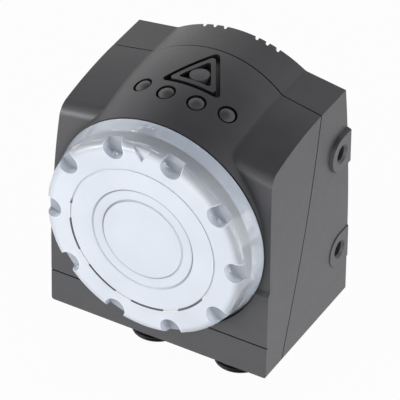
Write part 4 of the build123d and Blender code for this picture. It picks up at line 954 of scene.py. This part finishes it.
@dataclass
class Studio:
    """A pale floor, a white world, soft lamps and the photograph's camera."""

    target: Vector
    # The floor, just under the sensor, and how much of its glow rays see
    floor_m: float = 6.0
    floor_drop_mm: float = 0.1
    floor_tint: str = "#E8E8E8"
    floor_glow: float = 0.96
    # The surround's level, from white at the horizon to dark overhead, with its elevations
    horizon: float = 1.0
    zenith: float = 0.06
    white_up_to: float = 33.0
    dark_from: float = 63.0
    # The camera that was fitted to the photograph
    lens_mm: float = 360.0
    sensor_mm: float = 36.0
    camera_place: tuple[float, float, float] = (0.330004, -0.566892, 0.546952)
    camera_right: tuple[float, float, float] = (0.8640, 0.5035, 0.0039)
    camera_back: tuple[float, float, float] = (0.3963, -0.6849, 0.6114)
    boxes: tuple[Softbox, ...] = (
        Softbox("side_right", 80, -8, 0.2, 0.15, 0.16),
        Softbox("front_left", -40, -4, 0.3, 1.8, 0.4),
    )

    def direction(self, azimuth: float, elevation: float) -> Vector:
        """A unit vector from the object towards an azimuth, 0 in front, and an elevation."""
        turn, rise = math.radians(azimuth), math.radians(elevation)
        return Vector((math.sin(turn) * math.cos(rise), -math.cos(turn) * math.cos(rise), math.sin(rise)))

    def lamps(self) -> None:
        """Hangs the soft lamps round the object."""
        for box in self.boxes:
            light = bpy.data.lights.new(box.name, "AREA")
            light.shape = "DISK"
            light.size = box.size_m
            light.energy = box.watts
            lamp = bpy.data.objects.new(box.name, light)
            toward = self.direction(box.azimuth, box.elevation)
            lamp.location = self.target + toward * box.distance_m
            lamp.rotation_euler = toward.to_track_quat("Z", "Y").to_euler()
            lamp.visible_camera = False
            bpy.context.scene.collection.objects.link(lamp)

    def seen(self, tree: Tree) -> Socket:
        """Tells rays that see the floor from rays that light the object.

        Args:
            tree: The node tree.

        Returns:
            1 for rays from the camera or through glass or a mirror, and 0 for the light that falls.
        """
        path = add_node(tree, "ShaderNodeLightPath")
        first = add_node(tree, "ShaderNodeMath", {
            0: path.outputs["Is Camera Ray"], 1: path.outputs["Is Glossy Ray"],
        }, operation="ADD")
        return add_node(tree, "ShaderNodeMath", {
            0: first.outputs["Value"], 1: path.outputs["Is Transmission Ray"],
        }, operation="ADD", use_clamp=True).outputs["Value"]

    def world(self) -> None:
        """Makes a surround that is white to the camera and dims overhead for the light that falls."""
        world = bpy.data.worlds.new("surround")
        bpy.context.scene.world = world
        world.use_nodes = True
        tree = world.node_tree
        tree.nodes.clear()
        direction = add_node(tree, "ShaderNodeTexCoord").outputs["Generated"]
        height = add_node(tree, "ShaderNodeSeparateXYZ", {"Vector": direction}).outputs["Z"]
        level = add_node(tree, "ShaderNodeMapRange", {
            "Value": height,
            "From Min": math.sin(math.radians(self.white_up_to)),
            "From Max": math.sin(math.radians(self.dark_from)),
            "To Min": self.horizon,
            "To Max": self.zenith,
        }, interpolation_type="SMOOTHSTEP").outputs["Result"]
        camera_ray = add_node(tree, "ShaderNodeLightPath").outputs["Is Camera Ray"]
        strength = add_node(tree, "ShaderNodeMix", {"Factor": camera_ray, "A": level, "B": 1.0})
        shader = add_node(tree, "ShaderNodeBackground", {
            "Color": colour(WHITE), "Strength": strength.outputs["Result"],
        })
        output = add_node(tree, "ShaderNodeOutputWorld")
        tree.links.new(shader.outputs["Background"], output.inputs["Surface"])

    def floor(self) -> None:
        """Lays a pale floor that shows white with the object's shadow."""
        form = bmesh.new()
        bmesh.ops.create_grid(form, x_segments=1, y_segments=1, size=self.floor_m / 2)
        bmesh.ops.translate(form, verts=form.verts, vec=(0, 0, -self.floor_drop_mm * MM))
        material = bpy.data.materials.new("studio_floor")
        material.use_nodes = True
        tree = material.node_tree
        tree.nodes.clear()
        paint = add_node(tree, "ShaderNodeBsdfDiffuse", {"Color": colour(self.floor_tint)})
        glow = add_node(tree, "ShaderNodeEmission", {"Color": colour(WHITE), "Strength": 1.0})
        share = add_node(
            tree, "ShaderNodeMath", {0: self.seen(tree), 1: self.floor_glow}, operation="MULTIPLY"
        )
        mix = add_node(tree, "ShaderNodeMixShader", {
            0: share.outputs["Value"], 1: paint.outputs["BSDF"], 2: glow.outputs["Emission"],
        })
        output = add_node(tree, "ShaderNodeOutputMaterial")
        tree.links.new(mix.outputs["Shader"], output.inputs["Surface"])
        piece_from("floor", form, material)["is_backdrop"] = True

    def camera(self) -> None:
        """Sets the camera where the photograph was taken from, as fitted to the sensor's corners."""
        right = Vector(self.camera_right).normalized()
        back = Vector(self.camera_back)
        back = (back - right * back.dot(right)).normalized()
        up = back.cross(right)
        lens = bpy.data.cameras.new("photo_camera")
        lens.sensor_width = self.sensor_mm
        lens.lens = self.lens_mm
        camera = bpy.data.objects.new("photo_camera", lens)
        turn = Matrix((right, up, back)).transposed().to_4x4()
        camera.matrix_world = Matrix.Translation(self.camera_place) @ turn
        bpy.context.scene.collection.objects.link(camera)
        bpy.context.scene.camera = camera

    def build(self) -> None:
        """Makes the whole studio."""
        self.camera()
        self.world()
        self.lamps()
        self.floor()
        bpy.context.scene.view_settings.view_transform = "Standard"
        LOG.info("studio: floor, surround, camera and %d lamps", len(self.boxes))


def main() -> None:
    """Loads the frame, dresses it and sets the studio."""
    logging.basicConfig(level=logging.INFO, format="%(name)s: %(message)s")
    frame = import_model()
    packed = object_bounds()
    materials = Wardrobe(frame["nodes"]).dress()
    for connector in Connector:
        ConnectorShell(connector).build(materials[BLACK_NICKEL.name])
    Studio(target=(packed[0] + packed[1]) / 2).build()


if __name__ == "__main__":
    main()
